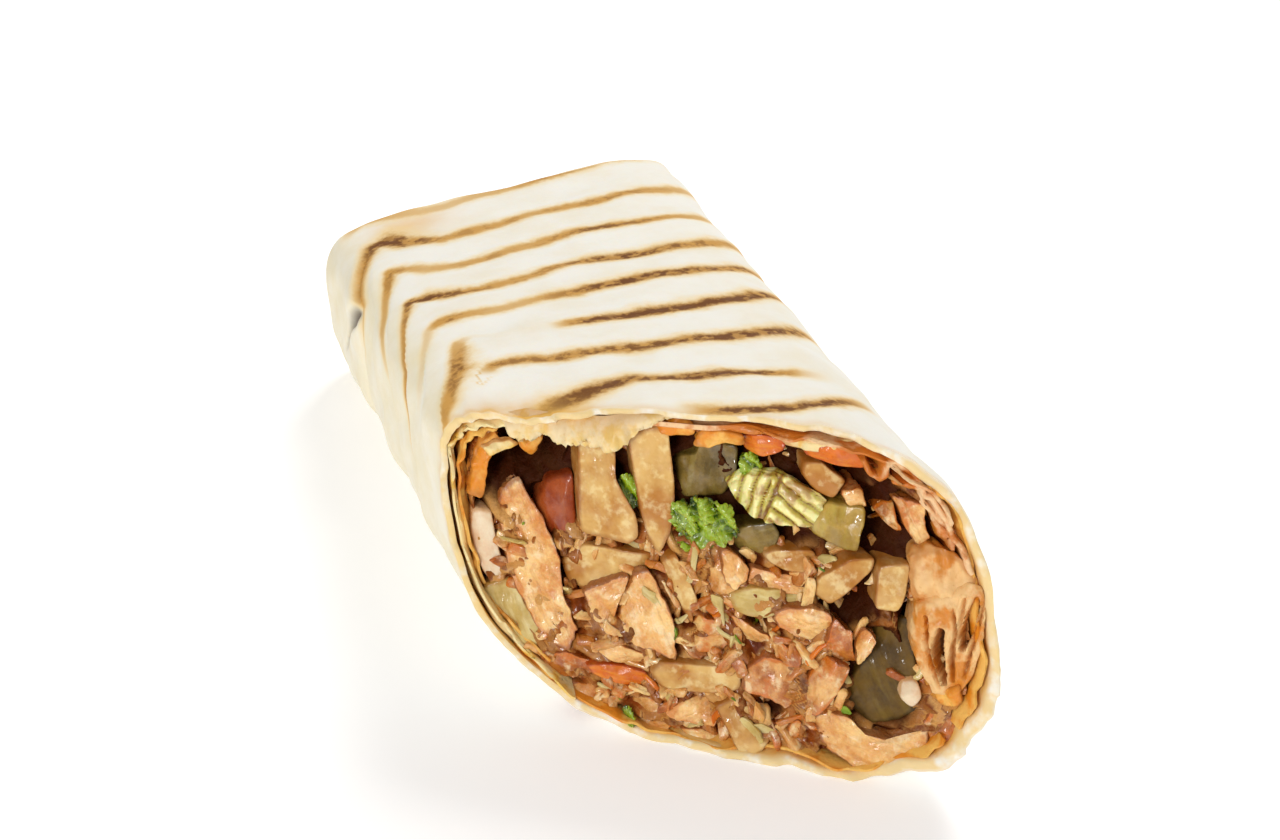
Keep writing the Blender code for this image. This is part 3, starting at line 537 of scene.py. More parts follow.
skin_points = np.vstack([bread_points.reshape(-1, 3), poles])
bread_faces = outward(skin_points, skin_faces(*bread_points.shape[:2]))
bread = piece("flatbread_rolled", skin_points, bread_faces, bread_finish(), bread_fields)
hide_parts("flatbread")


# The inner turns of the roll
# Deeper turns of the same sheet, which show at the cut as thin torn edges one inside the other. Oil and
# sauce have stained them yellow, orange and pink.
def thin_sheet(name, middle, thickness, finish, fields):
    """A sheet from a grid of points: two sides half a thickness off along its normals, joined round the
    border."""
    rows, columns = middle.shape[:2]
    count = rows * columns
    lift = grid_normals(middle, closed=False) * np.broadcast_to(thickness, (rows, columns))[..., None] / 2
    points = np.concatenate([(middle + lift).reshape(-1, 3), (middle - lift).reshape(-1, 3)])
    index = np.arange(count).reshape(rows, columns)
    top = np.stack([index[:-1, :-1], index[:-1, 1:], index[1:, 1:], index[1:, :-1]], axis=-1).reshape(-1, 4)
    border = np.concatenate([index[0, :-1], index[:-1, -1], index[-1, :0:-1], index[:0:-1, 0]])
    after = np.roll(border, -1)
    sides = np.stack([after, border, border + count, after + count], axis=-1)
    faces = np.vstack([top, top[:, ::-1] + count, sides]).tolist()
    whole = {key: np.broadcast_to(value, (rows, columns)).ravel() for key, value in fields.items()}
    twice = {key: np.tile(value, 2) for key, value in whole.items()}
    return piece(name, points, faces, finish, twice, crease=80)


TURN_FROM, TURN_WAVE = 0.90, 0.0005


def turn_of_sheet(name, start, stop, inset, reach, seed, finish, torn=0.0010):
    """One inner turn: part of the section at an inset, from further back in the roll to a torn, wavy edge at
    the cut. Waves round the section and along the wrap grow towards that edge."""
    angle = even_angles(start, stop, int(abs(stop - start) * 0.9))[None, :]
    share = np.linspace(0, 1, 22)[:, None]
    along = mixed(TURN_FROM, 1.0, share)
    place = np.stack(np.broadcast_arrays(np.cos(angle), np.sin(angle), share * 0.6), axis=-1)
    loose = ease(share, 0.2, 1.0)
    waves = TURN_WAVE * ripple(place, 0.45, seed) + TURN_WAVE * 0.5 * ripple(place, 0.18, seed + 1)
    depth = inset + waves * loose + lip_droop(angle) * ease(along, DROOP_FROM, 1.0)
    points = bread_point(angle, along, depth)
    edge = reach + torn * ripple(place, 0.35, seed + 2) + torn * 0.5 * ripple(place, 0.1, seed + 3)
    points[..., 1] -= edge * ease(share, 0.3, 1.0)
    thin = mixed(0.0009, 0.0005, ease(share, 0.75, 1.0)) * ease(share, 1.06, 0.98)
    made = thin_sheet(name, points, thin, finish, {"edge": 0.35 + 0.65 * share})
    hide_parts("flatbread")


# The deep brown is sauce with painted shade, for the dough back in the roll
DEEP_BROWN, SPOT_BROWN, SLIT_SHADE = (0.48, 0.17, 0.022), (0.56, 0.27, 0.05), (0.060, 0.016, 0.005)


def layer_finish(name, pale, stained, share):
    """Soaked dough: pale and stained patches, a little wet, browner and more orange deep in the roll, where
    sauce and painted shade darken it.
    """
    settings = {
        "Subsurface Weight": 0.12, "Subsurface Scale": 0.0015, "Subsurface Radius": (1.0, 0.6, 0.35),
        "Coat Roughness": 0.2, "Specular IOR Level": 0.3,
    }
    made, shader, place = new_finish(name, settings)
    cloud = noise(place, 0.006, 4.0, 0.6)
    fine = noise(place, 0.0016, 4.0, 0.6)
    edge = field(place, "edge")
    colour = blend(stepped(cloud, 0.62 - share * 0.4, 0.78 - share * 0.4), pale, stained)
    # Back from the torn edge, deeper in the roll and down the lumps' sides, sauce and painted shade turn the
    # dough brown
    colour = blend(stepped(edge, 1.0, 0.55) * 0.7, colour, DEEP_BROWN)
    colour = blend(stepped(fine, 0.60, 0.72) * 0.4, colour, SPOT_BROWN)
    colour = blend(stepped(edge, 0.3, 0.0) * 0.9, colour, SLIT_SHADE)
    connect(shader, {"Base Color": colour, "Normal": relief([(cloud, 0.5, 0.001), (fine, 0.5, 0.0003)])})
    connect(shader, {"Roughness": stepped(fine, 0.3, 0.7, 0.35, 0.6)})
    connect(shader, {"Coat Weight": stepped(cloud, 0.4, 0.7, 0.0, 0.4)})
    return made


# Each dough: its pale and its stained colour, and how much of it is stained
yellow_dough = layer_finish("flatbread_oiled", (0.86, 0.69, 0.34), (0.84, 0.50, 0.07), 0.35)
orange_dough = layer_finish("flatbread_sauced", (0.83, 0.46, 0.10), (0.74, 0.25, 0.012), 0.5)
pink_dough = layer_finish("flatbread_soaked", (0.86, 0.56, 0.30), (0.60, 0.175, 0.018), 0.5)
fold_dough = layer_finish("flatbread_pressed", (0.82, 0.51, 0.22), (0.66, 0.23, 0.022), 0.45)
flap_dough = layer_finish("flatbread_torn", (0.84, 0.68, 0.40), (0.79, 0.53, 0.16), 0.5)
# Each turn: from and to which angle, how far in, how far it stands out of the cut, and its seed
turn_of_sheet("flatbread_turn_left", 108, 232, 0.0021, 0.0004, 31, yellow_dough)
turn_of_sheet("flatbread_turn_left_inner", 120, 222, 0.0034, -0.0006, 35, orange_dough)
turn_of_sheet("flatbread_turn_top", 26, 118, 0.0021, -0.0004, 39, pink_dough, torn=0.0013)
turn_of_sheet("flatbread_turn_right", -32, 40, 0.0021, -0.0002, 43, orange_dough)
turn_of_sheet("flatbread_turn_base", 215, 322, 0.0018, -0.0008, 47, orange_dough)


# The cut face
# Everything that shows at the cut is placed in the knife's own plane, in millimetres: u to the right along
# the cut and t up it. Then comes how deep its front lies behind the cut, and how far back it runs.
FACE_RIGHT = np.array([math.cos(CUT_SLANT), -math.sin(CUT_SLANT), 0.0])
FACE_LEAN = np.array([0.0, math.sin(CUT_LEAN), math.cos(CUT_LEAN)])
FACE_OUT = np.cross(FACE_RIGHT, FACE_LEAN) / np.linalg.norm(np.cross(FACE_RIGHT, FACE_LEAN))
FACE_UP = np.cross(FACE_OUT, FACE_RIGHT)
FACE_MIDDLE = np.array([0.0, CUT_Y, CUT_DEPTH]) + PLACE_IN_PART
ALONG_WRAP = np.array([0.0, 1.0, 0.0])


def on_face(u, t, deep, back=0.0):
    """Points at (u, t) in the cut's plane, deep behind it and then back along the wrap, from millimetres."""
    right, up, deep, back = (value[..., None] / 1000 for value in np.broadcast_arrays(u, t, deep, back))
    return FACE_MIDDLE + right * FACE_RIGHT + up * FACE_UP - deep * FACE_OUT + back * ALONG_WRAP


def in_face(points):
    """Where points are in the cut's own plane: u and t in millimetres."""
    away = points - FACE_MIDDLE
    return away @ FACE_RIGHT * 1000, away @ FACE_UP * 1000


def evenly(curve, count):
    """The points of a curve, spaced evenly along it."""
    travel = np.concatenate([[0], np.cumsum(np.linalg.norm(np.diff(curve, axis=0), axis=1))])
    wanted = np.linspace(0, travel[-1], count)
    return np.stack([np.interp(wanted, travel, curve[:, i]) for i in range(curve.shape[1])], axis=1)


def rounded_outline(corners, count, bevel):
    """A closed line through a piece's corners, with each corner rounded off over a short distance."""
    corners = np.array(corners, dtype=float)
    sides = []
    for other in (np.roll(corners, 1, axis=0), np.roll(corners, -1, axis=0)):
        step = other - corners
        sides.append(corners + step * np.minimum(bevel / np.linalg.norm(step, axis=1), 0.35)[:, None])
    middle = (sides[0] + 2 * corners + sides[1]) / 4
    line = np.stack([sides[0], middle, sides[1]], axis=1).reshape(-1, 2)
    return evenly(np.vstack([line, line[:1]]), count + 1)[:-1]


def cut_piece(
    corners, recess, depth, seed, grain_turn, rough, furrow, facets, crown=0.0, edge=0.25, bevel=0.6
):
    """A piece sliced by the knife: an outline drawn in to its middle for the front, rounded over at the edge
    and carried straight back, narrowing a little. The front tips, has lumps and furrows along the grain, and
    a few flat facets that slope off beyond straight lines. Its fields are its place in a grain of its own,
    and the rim, from 0 on the front to 1 on the sides."""
    rng = np.random.default_rng(seed)
    corners = np.array(corners, dtype=float)
    around = np.linalg.norm(np.roll(corners, -1, axis=0) - corners, axis=1).sum()
    count = int(np.clip(around / 0.32, 28, 190))
    outline = rounded_outline(corners, count, bevel)
    middle = outline.mean(axis=0)
    radius = np.linalg.norm(outline - middle, axis=1).mean()
    turn = np.radians(np.linspace(0, 90, 5))
    front = np.linspace(0.04, 1 - edge / radius, max(6, int(radius / 0.38)))
    share = np.concatenate([front, 1 - edge / radius * (1 - np.sin(turn[1:])), np.linspace(0.995, 0.88, 9)])
    back = np.concatenate([0 * front, edge * (1 - np.cos(turn[1:])), np.linspace(edge, depth, 10)[1:]])
    share, back = share[:, None], back[:, None]
    u = middle[0] + (outline[:, 0] - middle[0]) * share
    t = middle[1] + (outline[:, 1] - middle[1]) * share
    spot = np.stack(np.broadcast_arrays(u, t, back), axis=-1)
    along, over = math.cos(math.radians(grain_turn)), math.sin(math.radians(grain_turn))
    own = np.stack([u * along + t * over, t * along - u * over, back + 0 * u], axis=-1)
    away = rng.uniform(-500, 500, 3)
    ragged = rough * 0.35 * ripple(spot + away, 1.8, seed) + furrow * ripple(own + away, 1.0, seed)
    ragged = 1 + ragged / radius
    u = middle[0] + (u - middle[0]) * mixed(1.0, ragged, ease(share, 0.6, 1.0))
    t = middle[1] + (t - middle[1]) * mixed(1.0, ragged, ease(share, 0.6, 1.0))
    lean = rng.uniform(-0.07, 0.07, 2)
    lumps = rough * (0.75 * ripple(spot + away, 4.2, seed + 1) + 0.35 * ripple(spot + away, 1.7, seed + 2))
    furrows = furrow * ripple((own + away) * np.array([0.14, 1.0, 1.0]), 1.0, seed + 3)
    raised = lumps + furrows + crown * (1 - share**2) + lean[0] * (u - middle[0]) + lean[1] * (t - middle[1])
    steep = min(1.0, 2.4 / radius)
    angles, offs, slopes = (rng.uniform(*span, facets) for span in ((0, 2 * np.pi), (-0.3, 0.5), (0.15, 0.6)))
    for angle, off, slope in zip(angles, offs, slopes * steep):
        beyond = (u - middle[0]) * math.cos(angle) + (t - middle[1]) * math.sin(angle) - off * radius
        raised = raised - slope * np.maximum(beyond, 0)
    points = on_face(u, t, recess - raised * (1 - ease(back, edge, depth)), back)
    points[..., 2] = np.maximum(points[..., 2], 0.001)
    rim = ease(share, 0.72, 1.0) * (1 - ease(back, 0.5, 2.0)) + ease(back, 0.5, 2.0) + 0 * u
    ends = np.stack([points[0].mean(axis=0), points[-1].mean(axis=0)])
    flat = np.vstack([points.reshape(-1, 3), ends])
    own = (np.vstack([own.reshape(-1, 3), own[0, :1], own[-1, :1]]) + away) / 1000
    rim = np.append(rim.ravel(), [0, 1])
    faces = outward(flat, skin_faces(len(share), count))
    return flat, faces, {"own": own, "rim": rim}


# The heap of chicken in sauce
# Shaved roast chicken chopped small and bound with a red-brown sauce. It fills the roll, flush with the
# cut low down and hollowed between the longer pieces higher up, where it's dark and wet.
# Each hollow: its middle (u, t), how wide and how deep, in millimetres
HOLLOWS = [
    (-31.0, 16.5, 5.0, 10.0), (-36.5, 14.0, 3.5, 8.0), (-38.0, 20.0, 2.4, 7.0), (-29.0, 8.0, 4.0, 4.0),
    (-16.6, 14.0, 2.5, 6.0), (-7.0, 22.5, 3.0, 8.0), (-4.0, 18.5, 6.0, 3.5), (5.0, 21.7, 4.0, 6.0),
    (10.0, 21.7, 3.0, 6.0), (4.5, 8.5, 4.5, 3.5), (11.7, 9.8, 2.2, 6.0), (25.5, 11.5, 4.4, 8.0),
    (23.0, 5.0, 3.0, 5.0), (21.4, -0.6, 3.6, 6.0), (21.4, 20.6, 3.0, 6.0), (25.0, 17.0, 3.0, 4.0),
    (30.6, 5.4, 2.2, 7.0), (27.5, -9.0, 6.0, 4.2), (28.5, -15.5, 5.0, 4.6), (22.5, 0.2, 3.4, 8.0),
    (36.0, -3.0, 5.0, 7.0), (39.0, 2.0, 3.0, 6.0), (32.0, 16.5, 4.5, 4.5), (-20.4, -4.0, 2.4, 5.5),
    (-25.5, -3.0, 2.0, 4.0), (-20.0, 1.0, 3.5, 2.0), (-12.4, 1.0, 2.2, 6.0), (-6.8, -13.3, 1.3, 4.5),
    (-41.2, 6.0, 2.2, 5.0), (-40.4, -1.0, 3.5, 2.0), (11.0, -20.0, 2.0, 4.0), (-1.8, -12.6, 1.4, 3.5),
    (7.8, -6.9, 1.4, 4.0), (-26.6, -5.4, 1.5, 4.5),
]
WALL, WALL_EXTRA_LEFT, BASE_WALL, WALL_GAP = 0.0030, 0.0012, 0.0022, 0.0003
HEAP_COLUMNS, HEAP_FACE_ROWS, HEAP_DEPTH = 300, 110, 1.9


def wall_depth(angle):
    """How thick the bread is: more turns on the left and a single sheet below."""
    left = np.clip(-np.cos(angle), 0, 1)
    below = np.clip(-np.sin(angle), 0, 1) ** 2
    return WALL + WALL_EXTRA_LEFT * left + (BASE_WALL - WALL) * below


def packed_scraps(u, t, seed, count, small, large):
    """Height of packed scraps in millimetres, and the tint of the one on top: the highest of many long domes,
    each falling off with the fourth power along it and the second across."""
    rng = np.random.default_rng(seed)
    places = rng.uniform((-47, -33), (46, 32), (count, 2))
    turn = rng.uniform(0, np.pi, count)
    long, wide = rng.uniform(small * 1.5, large * 1.9, count), rng.uniform(small * 0.6, large * 0.6, count)
    lift, tints = rng.uniform(0.0, 1.3, count), rng.uniform(0, 1, count)
    best, top_tint = np.full(u.shape, -9.0), np.zeros(u.shape)
    for (pu, pt), angle, half_long, half_wide, top, tint in zip(places, turn, long, wide, lift, tints):
        along = (u - pu) * math.cos(angle) + (t - pt) * math.sin(angle)
        over = -(u - pu) * math.sin(angle) + (t - pt) * math.cos(angle)
        height = top - 1.2 * ((along / half_long) ** 4 + (over / half_wide) ** 2)
        top_tint = np.where(height > best, tint, top_tint)
        best = np.maximum(best, height)
    return best, top_tint


def heap_parts():
    """The heap's skin, from inside the folded end along the bread's inner wall to the bumpy face at the cut.
    The face's depth is a low swell, or the deepest hollow there, less the scraps and crumbs on it."""
    angle = even_angles(SEAM_ANGLE, SEAM_ANGLE + 360, HEAP_COLUMNS + 1)[:-1][None, :]
    wall = wall_depth(angle) + WALL_GAP
    back = bread_point(angle, 0.0, wall)
    back[..., 1] -= END_WALL + 0.002
    side = bread_point(angle, np.array([0.12, 0.32, 0.53, 0.74, 0.90])[:, None], wall)
    rim = bread_point(angle, 0.985, wall)
    centre = rim.mean(axis=1, keepdims=True)
    share = np.linspace(1, 0.01, HEAP_FACE_ROWS)[:, None, None] ** 0.9
    face = centre + (rim - centre) * share
    plain = face - PLACE_IN_PART
    face[..., 1] = cut_line(plain[..., 0], plain[..., 2]) + PLACE_IN_PART[1]
    u, t = in_face(face)
    from_rim = ease(share[..., 0], 1.0, 0.94)
    depth = HEAP_DEPTH + 2.4 * ease(t, 2, 12) * from_rim + 0.4 * ripple(face, 0.012, 60)
    for hollow_u, hollow_t, radius, deep in HOLLOWS:
        hollow = bell(np.hypot(u - hollow_u, t - hollow_t), 0, radius)
        depth = np.maximum(depth, HEAP_DEPTH + deep * hollow * from_rim)
    scraps, tint = packed_scraps(u, t, 61, 900, 1.0, 2.6)
    crumbs, _ = packed_scraps(u, t, 62, 1800, 0.5, 1.2)
    scraps = np.maximum(scraps, -0.8)
    shallow = ease(depth, 6.0, 2.5)
    dark = ease(depth - 0.7 * scraps, 1.5, 4.6)
    depth = depth - (0.8 * scraps + 0.35 * np.maximum(crumbs, -0.6)) * (0.35 + 0.65 * shallow)
    face[..., 1] += np.maximum(depth, 0.6) / 1000 / -FACE_OUT[1]
    points = np.concatenate([back, side, face])
    unseen = np.zeros((len(back) + len(side), HEAP_COLUMNS))
    fields = {
        "tint": np.concatenate([unseen, tint]),
        "height": np.concatenate([unseen, np.clip(0.5 + scraps / 2.5, 0, 1)]),
        "dark": np.concatenate([unseen + 1, dark]),
    }
    return points, fields


# Scraps from the lowest tint to the highest, and the sauce between them
SCRAP_TINTS = [
    (0.0, (0.30, 0.070, 0.008)),
    (0.22, (0.56, 0.25, 0.055)),
    (0.42, (0.19, 0.038, 0.004)),
    (0.62, (0.66, 0.34, 0.095)),
    (0.8, (0.42, 0.115, 0.012)),
    (1.0, (0.13, 0.034, 0.005)),
]
SCRAP_PALE, SAUCE_DEEP, SAUCE_BRIGHT = (0.62, 0.32, 0.12), (0.14, 0.022, 0.002), (0.30, 0.062, 0.005)
HOLLOW_SHADE = (0.040, 0.007, 0.0015)


def heap_finish():
    """Chopped chicken and sauce: each scrap has its own tint, the gaps are red-brown and wet."""
    made, shader, place = new_finish("chicken_in_sauce", {"Specular IOR Level": 0.06, "Coat Roughness": 0.1})
    tint = field(place, "tint")
    height = field(place, "height")
    dark = field(place, "dark")
    fine = noise(place, 0.0014, 4.0, 0.65)
    cloud = noise(place, 0.009, 3.0, 0.6)
    scrap = tint.node("ShaderNodeValToRGB", {"stops": SCRAP_TINTS}, {0: tint})
    scrap = blend(stepped(fine, 0.4, 0.7) * 0.4, scrap, SCRAP_PALE)
    sauce = blend(stepped(cloud, 0.4, 0.6), SAUCE_DEEP, SAUCE_BRIGHT)
    colour = blend(stepped(height + (fine - 0.5) * 0.5, 0.30, 0.66), sauce, scrap)
    colour = blend(stepped(dark, 0.0, 0.8) * 0.97, colour, HOLLOW_SHADE)
    bumps = relief([(fine, 0.9, 0.0008), (noise(place, 0.0006, 2.0), 0.3, 0.0001)])
    connect(shader, {"Base Color": colour, "Normal": bumps})
    wet = stepped(noise(place, 0.003, 3.0), 0.44, 0.62, 0.0, 1.0) * stepped(dark, 0.5, 0.1)
    connect(shader, {"Roughness": stepped(fine, 0.3, 0.7, 0.35, 0.55), "Coat Weight": wet})
    return made


heap_points, heap_fields = heap_parts()
heap_ends = np.stack([heap_points[0].mean(axis=0), heap_points[-1].mean(axis=0)])
heap_flat = np.vstack([heap_points.reshape(-1, 3), heap_ends])
heap_fields = {key: np.append(values.ravel(), values[[0, -1], 0]) for key, values in heap_fields.items()}
heap_faces = outward(heap_flat, skin_faces(*heap_points.shape[:2]))
heap = piece("chicken_heap", heap_flat, heap_faces, heap_finish(), heap_fields)
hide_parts("chicken_filling")


# The chicken's larger pieces
# Chunks and slices of roast chicken, cut across with the rest by the knife. They are pale inside with
# fibres that run one way, and orange or brown where the sauce has soaked them.
# Each piece: how deep it lies, how brown it is, which way its fibres run, and its corners (u, t).
CHICKEN = [
    (0.8, 0.15, -62, [(-38.6, 9.6), (-35.4, 12.3), (-31.3, 7.4), (-27.6, 0.8), (-26.7, -6.3),
        (-24.2, -11.8), (-25.5, -15.9), (-29.3, -15.2), (-33.0, -10.2), (-36.7, -3.5), (-39.0, 5.5)]),
    (0.9, 0.12, 40, [(-23.8, -5.3), (-17.6, -1.5), (-15.4, -0.8), (-17.4, -6.9), (-19.1, -11.8),
        (-21.7, -10.4)]),
    (0.3, 0.05, -60, [(-15.2, -0.6), (-12.5, 0.7), (-9.6, -2.8), (-7.5, -7.1), (-7.2, -14.4),
        (-10.9, -13.0), (-18.4, -11.9), (-17.2, -6.6)]),
    (1.4, 0.25, -50, [(-5.2, 2.5), (-0.4, 4.4), (0.5, 1.1), (4.0, -2.2), (1.4, -3.9), (-2.3, -2.5),
        (-4.6, -0.6)]),
    (0.8, 0.1, -55, [(-0.5, 6.2), (1.1, 6.3), (3.9, 4.3), (4.4, 2.3), (2.3, -0.2), (0.9, 0.7),
        (-0.1, 3.3)]),
    (1.6, 0.2, -8, [(4.1, 3.8), (10.3, 3.6), (15.9, 3.3), (14.5, 0.7), (8.3, 0.4), (3.8, 0.5)]),
    (1.6, 0.3, 10, [(18.5, 19.2), (21.4, 20.2), (22.5, 16.8), (19.5, 16.7)]),
    (1.0, 0.15, 70, [(22.1, -4.9), (23.3, -3.1), (25.8, -4.6), (24.1, -8.0), (22.5, -10.0)]),
    (0.5, 0.15, -20, [(8.8, -2.7), (11.0, -1.4), (15.8, -0.4), (18.5, -1.7), (17.5, -5.6), (16.3, -7.8),
        (13.6, -7.4), (9.4, -4.9)]),
    (0.8, 0.75, 80, [(18.4, -2.1), (21.7, -4.0), (22.0, -9.5), (18.2, -10.8), (16.2, -8.4),
        (17.8, -5.7)]),
    (0.6, 0.45, 62, [(16.3, -8.7), (21.7, -10.0), (20.2, -14.0), (19.0, -16.2), (17.0, -19.0),
        (13.7, -19.9), (12.5, -19.0), (14.8, -12.3)]),
    (0.5, 0.05, -12, [(15.1, -20.3), (17.6, -18.3), (22.1, -18.3), (24.5, -20.7), (30.1, -21.4),
        (34.6, -18.0), (34.6, -22.8), (30.4, -25.6), (23.8, -27.0), (18.1, -24.9)]),
    (1.6, 0.85, 75, [(35.1, -13.7), (38.8, -11.7), (39.6, -15.6), (38.4, -19.4), (35.2, -21.2),
        (33.4, -18.1)]),
    (0.9, 0.3, -10, [(-21.6, -14.4), (-17.0, -12.8), (-11.1, -15.2), (-12.4, -17.1), (-18.0, -16.4)]),
    (0.9, 0.55, -70, [(4.0, -13.8), (8.0, -10.1), (13.3, -11.4), (13.9, -13.6), (12.9, -16.2),
        (11.6, -19.8), (8.5, -18.1), (4.4, -17.5)]),
    (0.6, 0.7, -25, [(7.0, -9.5), (9.5, -7.3), (14.1, -9.2), (13.4, -11.4), (9.3, -11.6)]),
    (0.9, 0.3, 30, [(-6.8, -8.4), (-3.5, -5.3), (0.4, -6.4), (1.9, -9.0), (-0.2, -11.8), (-3.8, -12.5),
        (-6.2, -10.6)]),
    (1.2, 0.2, -40, [(1.5, -4.5), (5.4, -6.0), (8.5, -7.8), (6.8, -10.0), (3.7, -10.2)]),
    (0.9, 0.15, 30, [(-9.1, -23.7), (-5.7, -20.8), (-1.7, -19.2), (0.3, -21.7), (0.0, -24.4),
        (-3.7, -24.5), (-7.9, -24.4)]),
    (1.3, 0.2, 5, [(-6.5, -26.3), (-0.4, -25.2), (1.9, -27.9), (-3.2, -29.0)]),
    (1.3, 0.35, 20, [(-15.1, -22.2), (-10.0, -21.7), (-7.3, -25.0), (-8.4, -27.2), (-12.1, -28.0),
        (-14.9, -26.4)]),
    (1.4, 0.3, -15, [(-26.9, -22.3), (-20.4, -21.0), (-18.6, -25.0), (-22.5, -26.8), (-25.6, -25.0)]),
    (2.2, 0.3, -60, [(25.8, 19.0), (31.8, 19.2), (31.7, 15.2), (32.9, 13.6), (30.9, 11.6), (28.6, 14.1),
        (27.0, 17.2)]),
    (2.4, 0.5, -55, [(23.7, 17.6), (26.1, 18.1), (28.1, 14.0), (27.3, 13.1), (22.8, 16.3)]),
    (0.9, 0.5, 70, [(12.1, -21.1), (13.9, -20.7), (13.6, -23.7), (11.9, -25.0)]),
    (1.2, 0.7, -20, [(-30.8, -17.7), (-25.6, -16.1), (-20.9, -17.6), (-22.6, -20.9), (-27.4, -20.9),
        (-30.3, -19.5)]),
]


def joined(parts):
    """Several meshes as one: their points, faces and fields, one after the other."""
    starts = np.cumsum([0] + [len(points) for points, _, _ in parts])
    points = np.vstack([points for points, _, _ in parts])
    faces = []
    for start, (_, own_faces, _) in zip(starts.tolist(), parts):
        faces += [[corner + start for corner in face] for face in own_faces]
    fields = {key: np.concatenate([fields[key] for _, _, fields in parts]) for key in parts[0][2]}
    return points, faces, fields


MEAT_PALE, MEAT_TAN = (0.92, 0.58, 0.22), (0.76, 0.35, 0.08)
ROAST_LIGHT, ROAST_DARK = (0.60, 0.20, 0.024), (0.36, 0.085, 0.008)
MEAT_CREAM, MEAT_RUSSET, FIBRE_SHADE = (0.95, 0.74, 0.42), (0.62, 0.23, 0.030), (0.40, 0.14, 0.03)
SAUCE_FILM, RIM_SHADE = (0.60, 0.15, 0.007), (0.22, 0.05, 0.006)


def chicken_finish():
    """Roast chicken: pale tan with fibres along its own length, browner and oily on some pieces."""
    settings = {
        "Subsurface Weight": 0.2, "Subsurface Scale": 0.002, "Subsurface Radius": (1.0, 0.5, 0.28),
        "Specular IOR Level": 0.45, "Coat Roughness": 0.12,
    }
    made, shader, place = new_finish("chicken_roast", settings)
    own = field(place, "own", output=1)
    tint = field(place, "piece_tint")
    rim = field(place, "rim")
    fibre = noise(stretched(own, (0.22, 1.0, 1.0)), 0.0009, 3.0, 0.6)
    cloud = noise(own, 0.005, 4.0, 0.6)
    patch = noise(own, 0.0026, 4.0, 0.6)
    fine = noise(own, 0.0008, 3.0, 0.6)
    pale = blend(stepped(cloud, 0.35, 0.65), MEAT_PALE, MEAT_TAN)
    brown = blend(stepped(cloud, 0.35, 0.65), ROAST_LIGHT, ROAST_DARK)
    meat = blend(stepped(tint + (cloud - 0.5) * 0.9, 0.15, 0.75), pale, brown)
    meat = blend(stepped(patch, 0.52, 0.68) * 0.65, meat, MEAT_CREAM)
    meat = blend(stepped(patch, 0.46, 0.32) * 0.5, meat, MEAT_RUSSET)
    meat = blend(stepped(fibre, 0.48, 0.34) * 0.25, meat, FIBRE_SHADE)
    sauce = stepped(noise(place, 0.0042, 4.0, 0.6) + rim * 0.18, 0.53, 0.68)
    sauce = sauce * stepped(tint, 0.0, 0.4, 0.45, 0.9)
    meat = blend(sauce, meat, SAUCE_FILM)
    meat = blend(stepped(rim, 0.85, 1.0) * 0.75, meat, RIM_SHADE)
    bumps = relief([(fibre, 0.5, 0.0004), (patch, 0.7, 0.0007), (fine, 0.6, 0.0003)])
    connect(shader, {"Base Color": meat, "Normal": bumps})
    wet = noise(place, 0.0026, 3.0)
    connect(shader, {"Roughness": stepped(wet, 0.42, 0.60, 0.50, 0.20)})
    connect(shader, {"Coat Weight": stepped(wet, 0.40, 0.62, 0.1, 1.0)})
    return made


SLICE_CREASE = 50
roast = chicken_finish()
chunks = []
for number, (recess, brown, grain_turn, corners) in enumerate(CHICKEN):
    shape = {"depth": 6.0, "seed": 200 + number, "rough": 0.26, "furrow": 0.08, "facets": 3}
    points, faces, fields = cut_piece(corners, recess, grain_turn=grain_turn, **shape)
    chunks.append((points, faces, {**fields, "piece_tint": np.full(len(points), brown)}))
chunk_points, chunk_faces, chunk_fields = joined(chunks)
chunk_pieces = piece("chicken_chunks", chunk_points, chunk_faces, roast, chunk_fields, SLICE_CREASE)
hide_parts("chicken_filling")


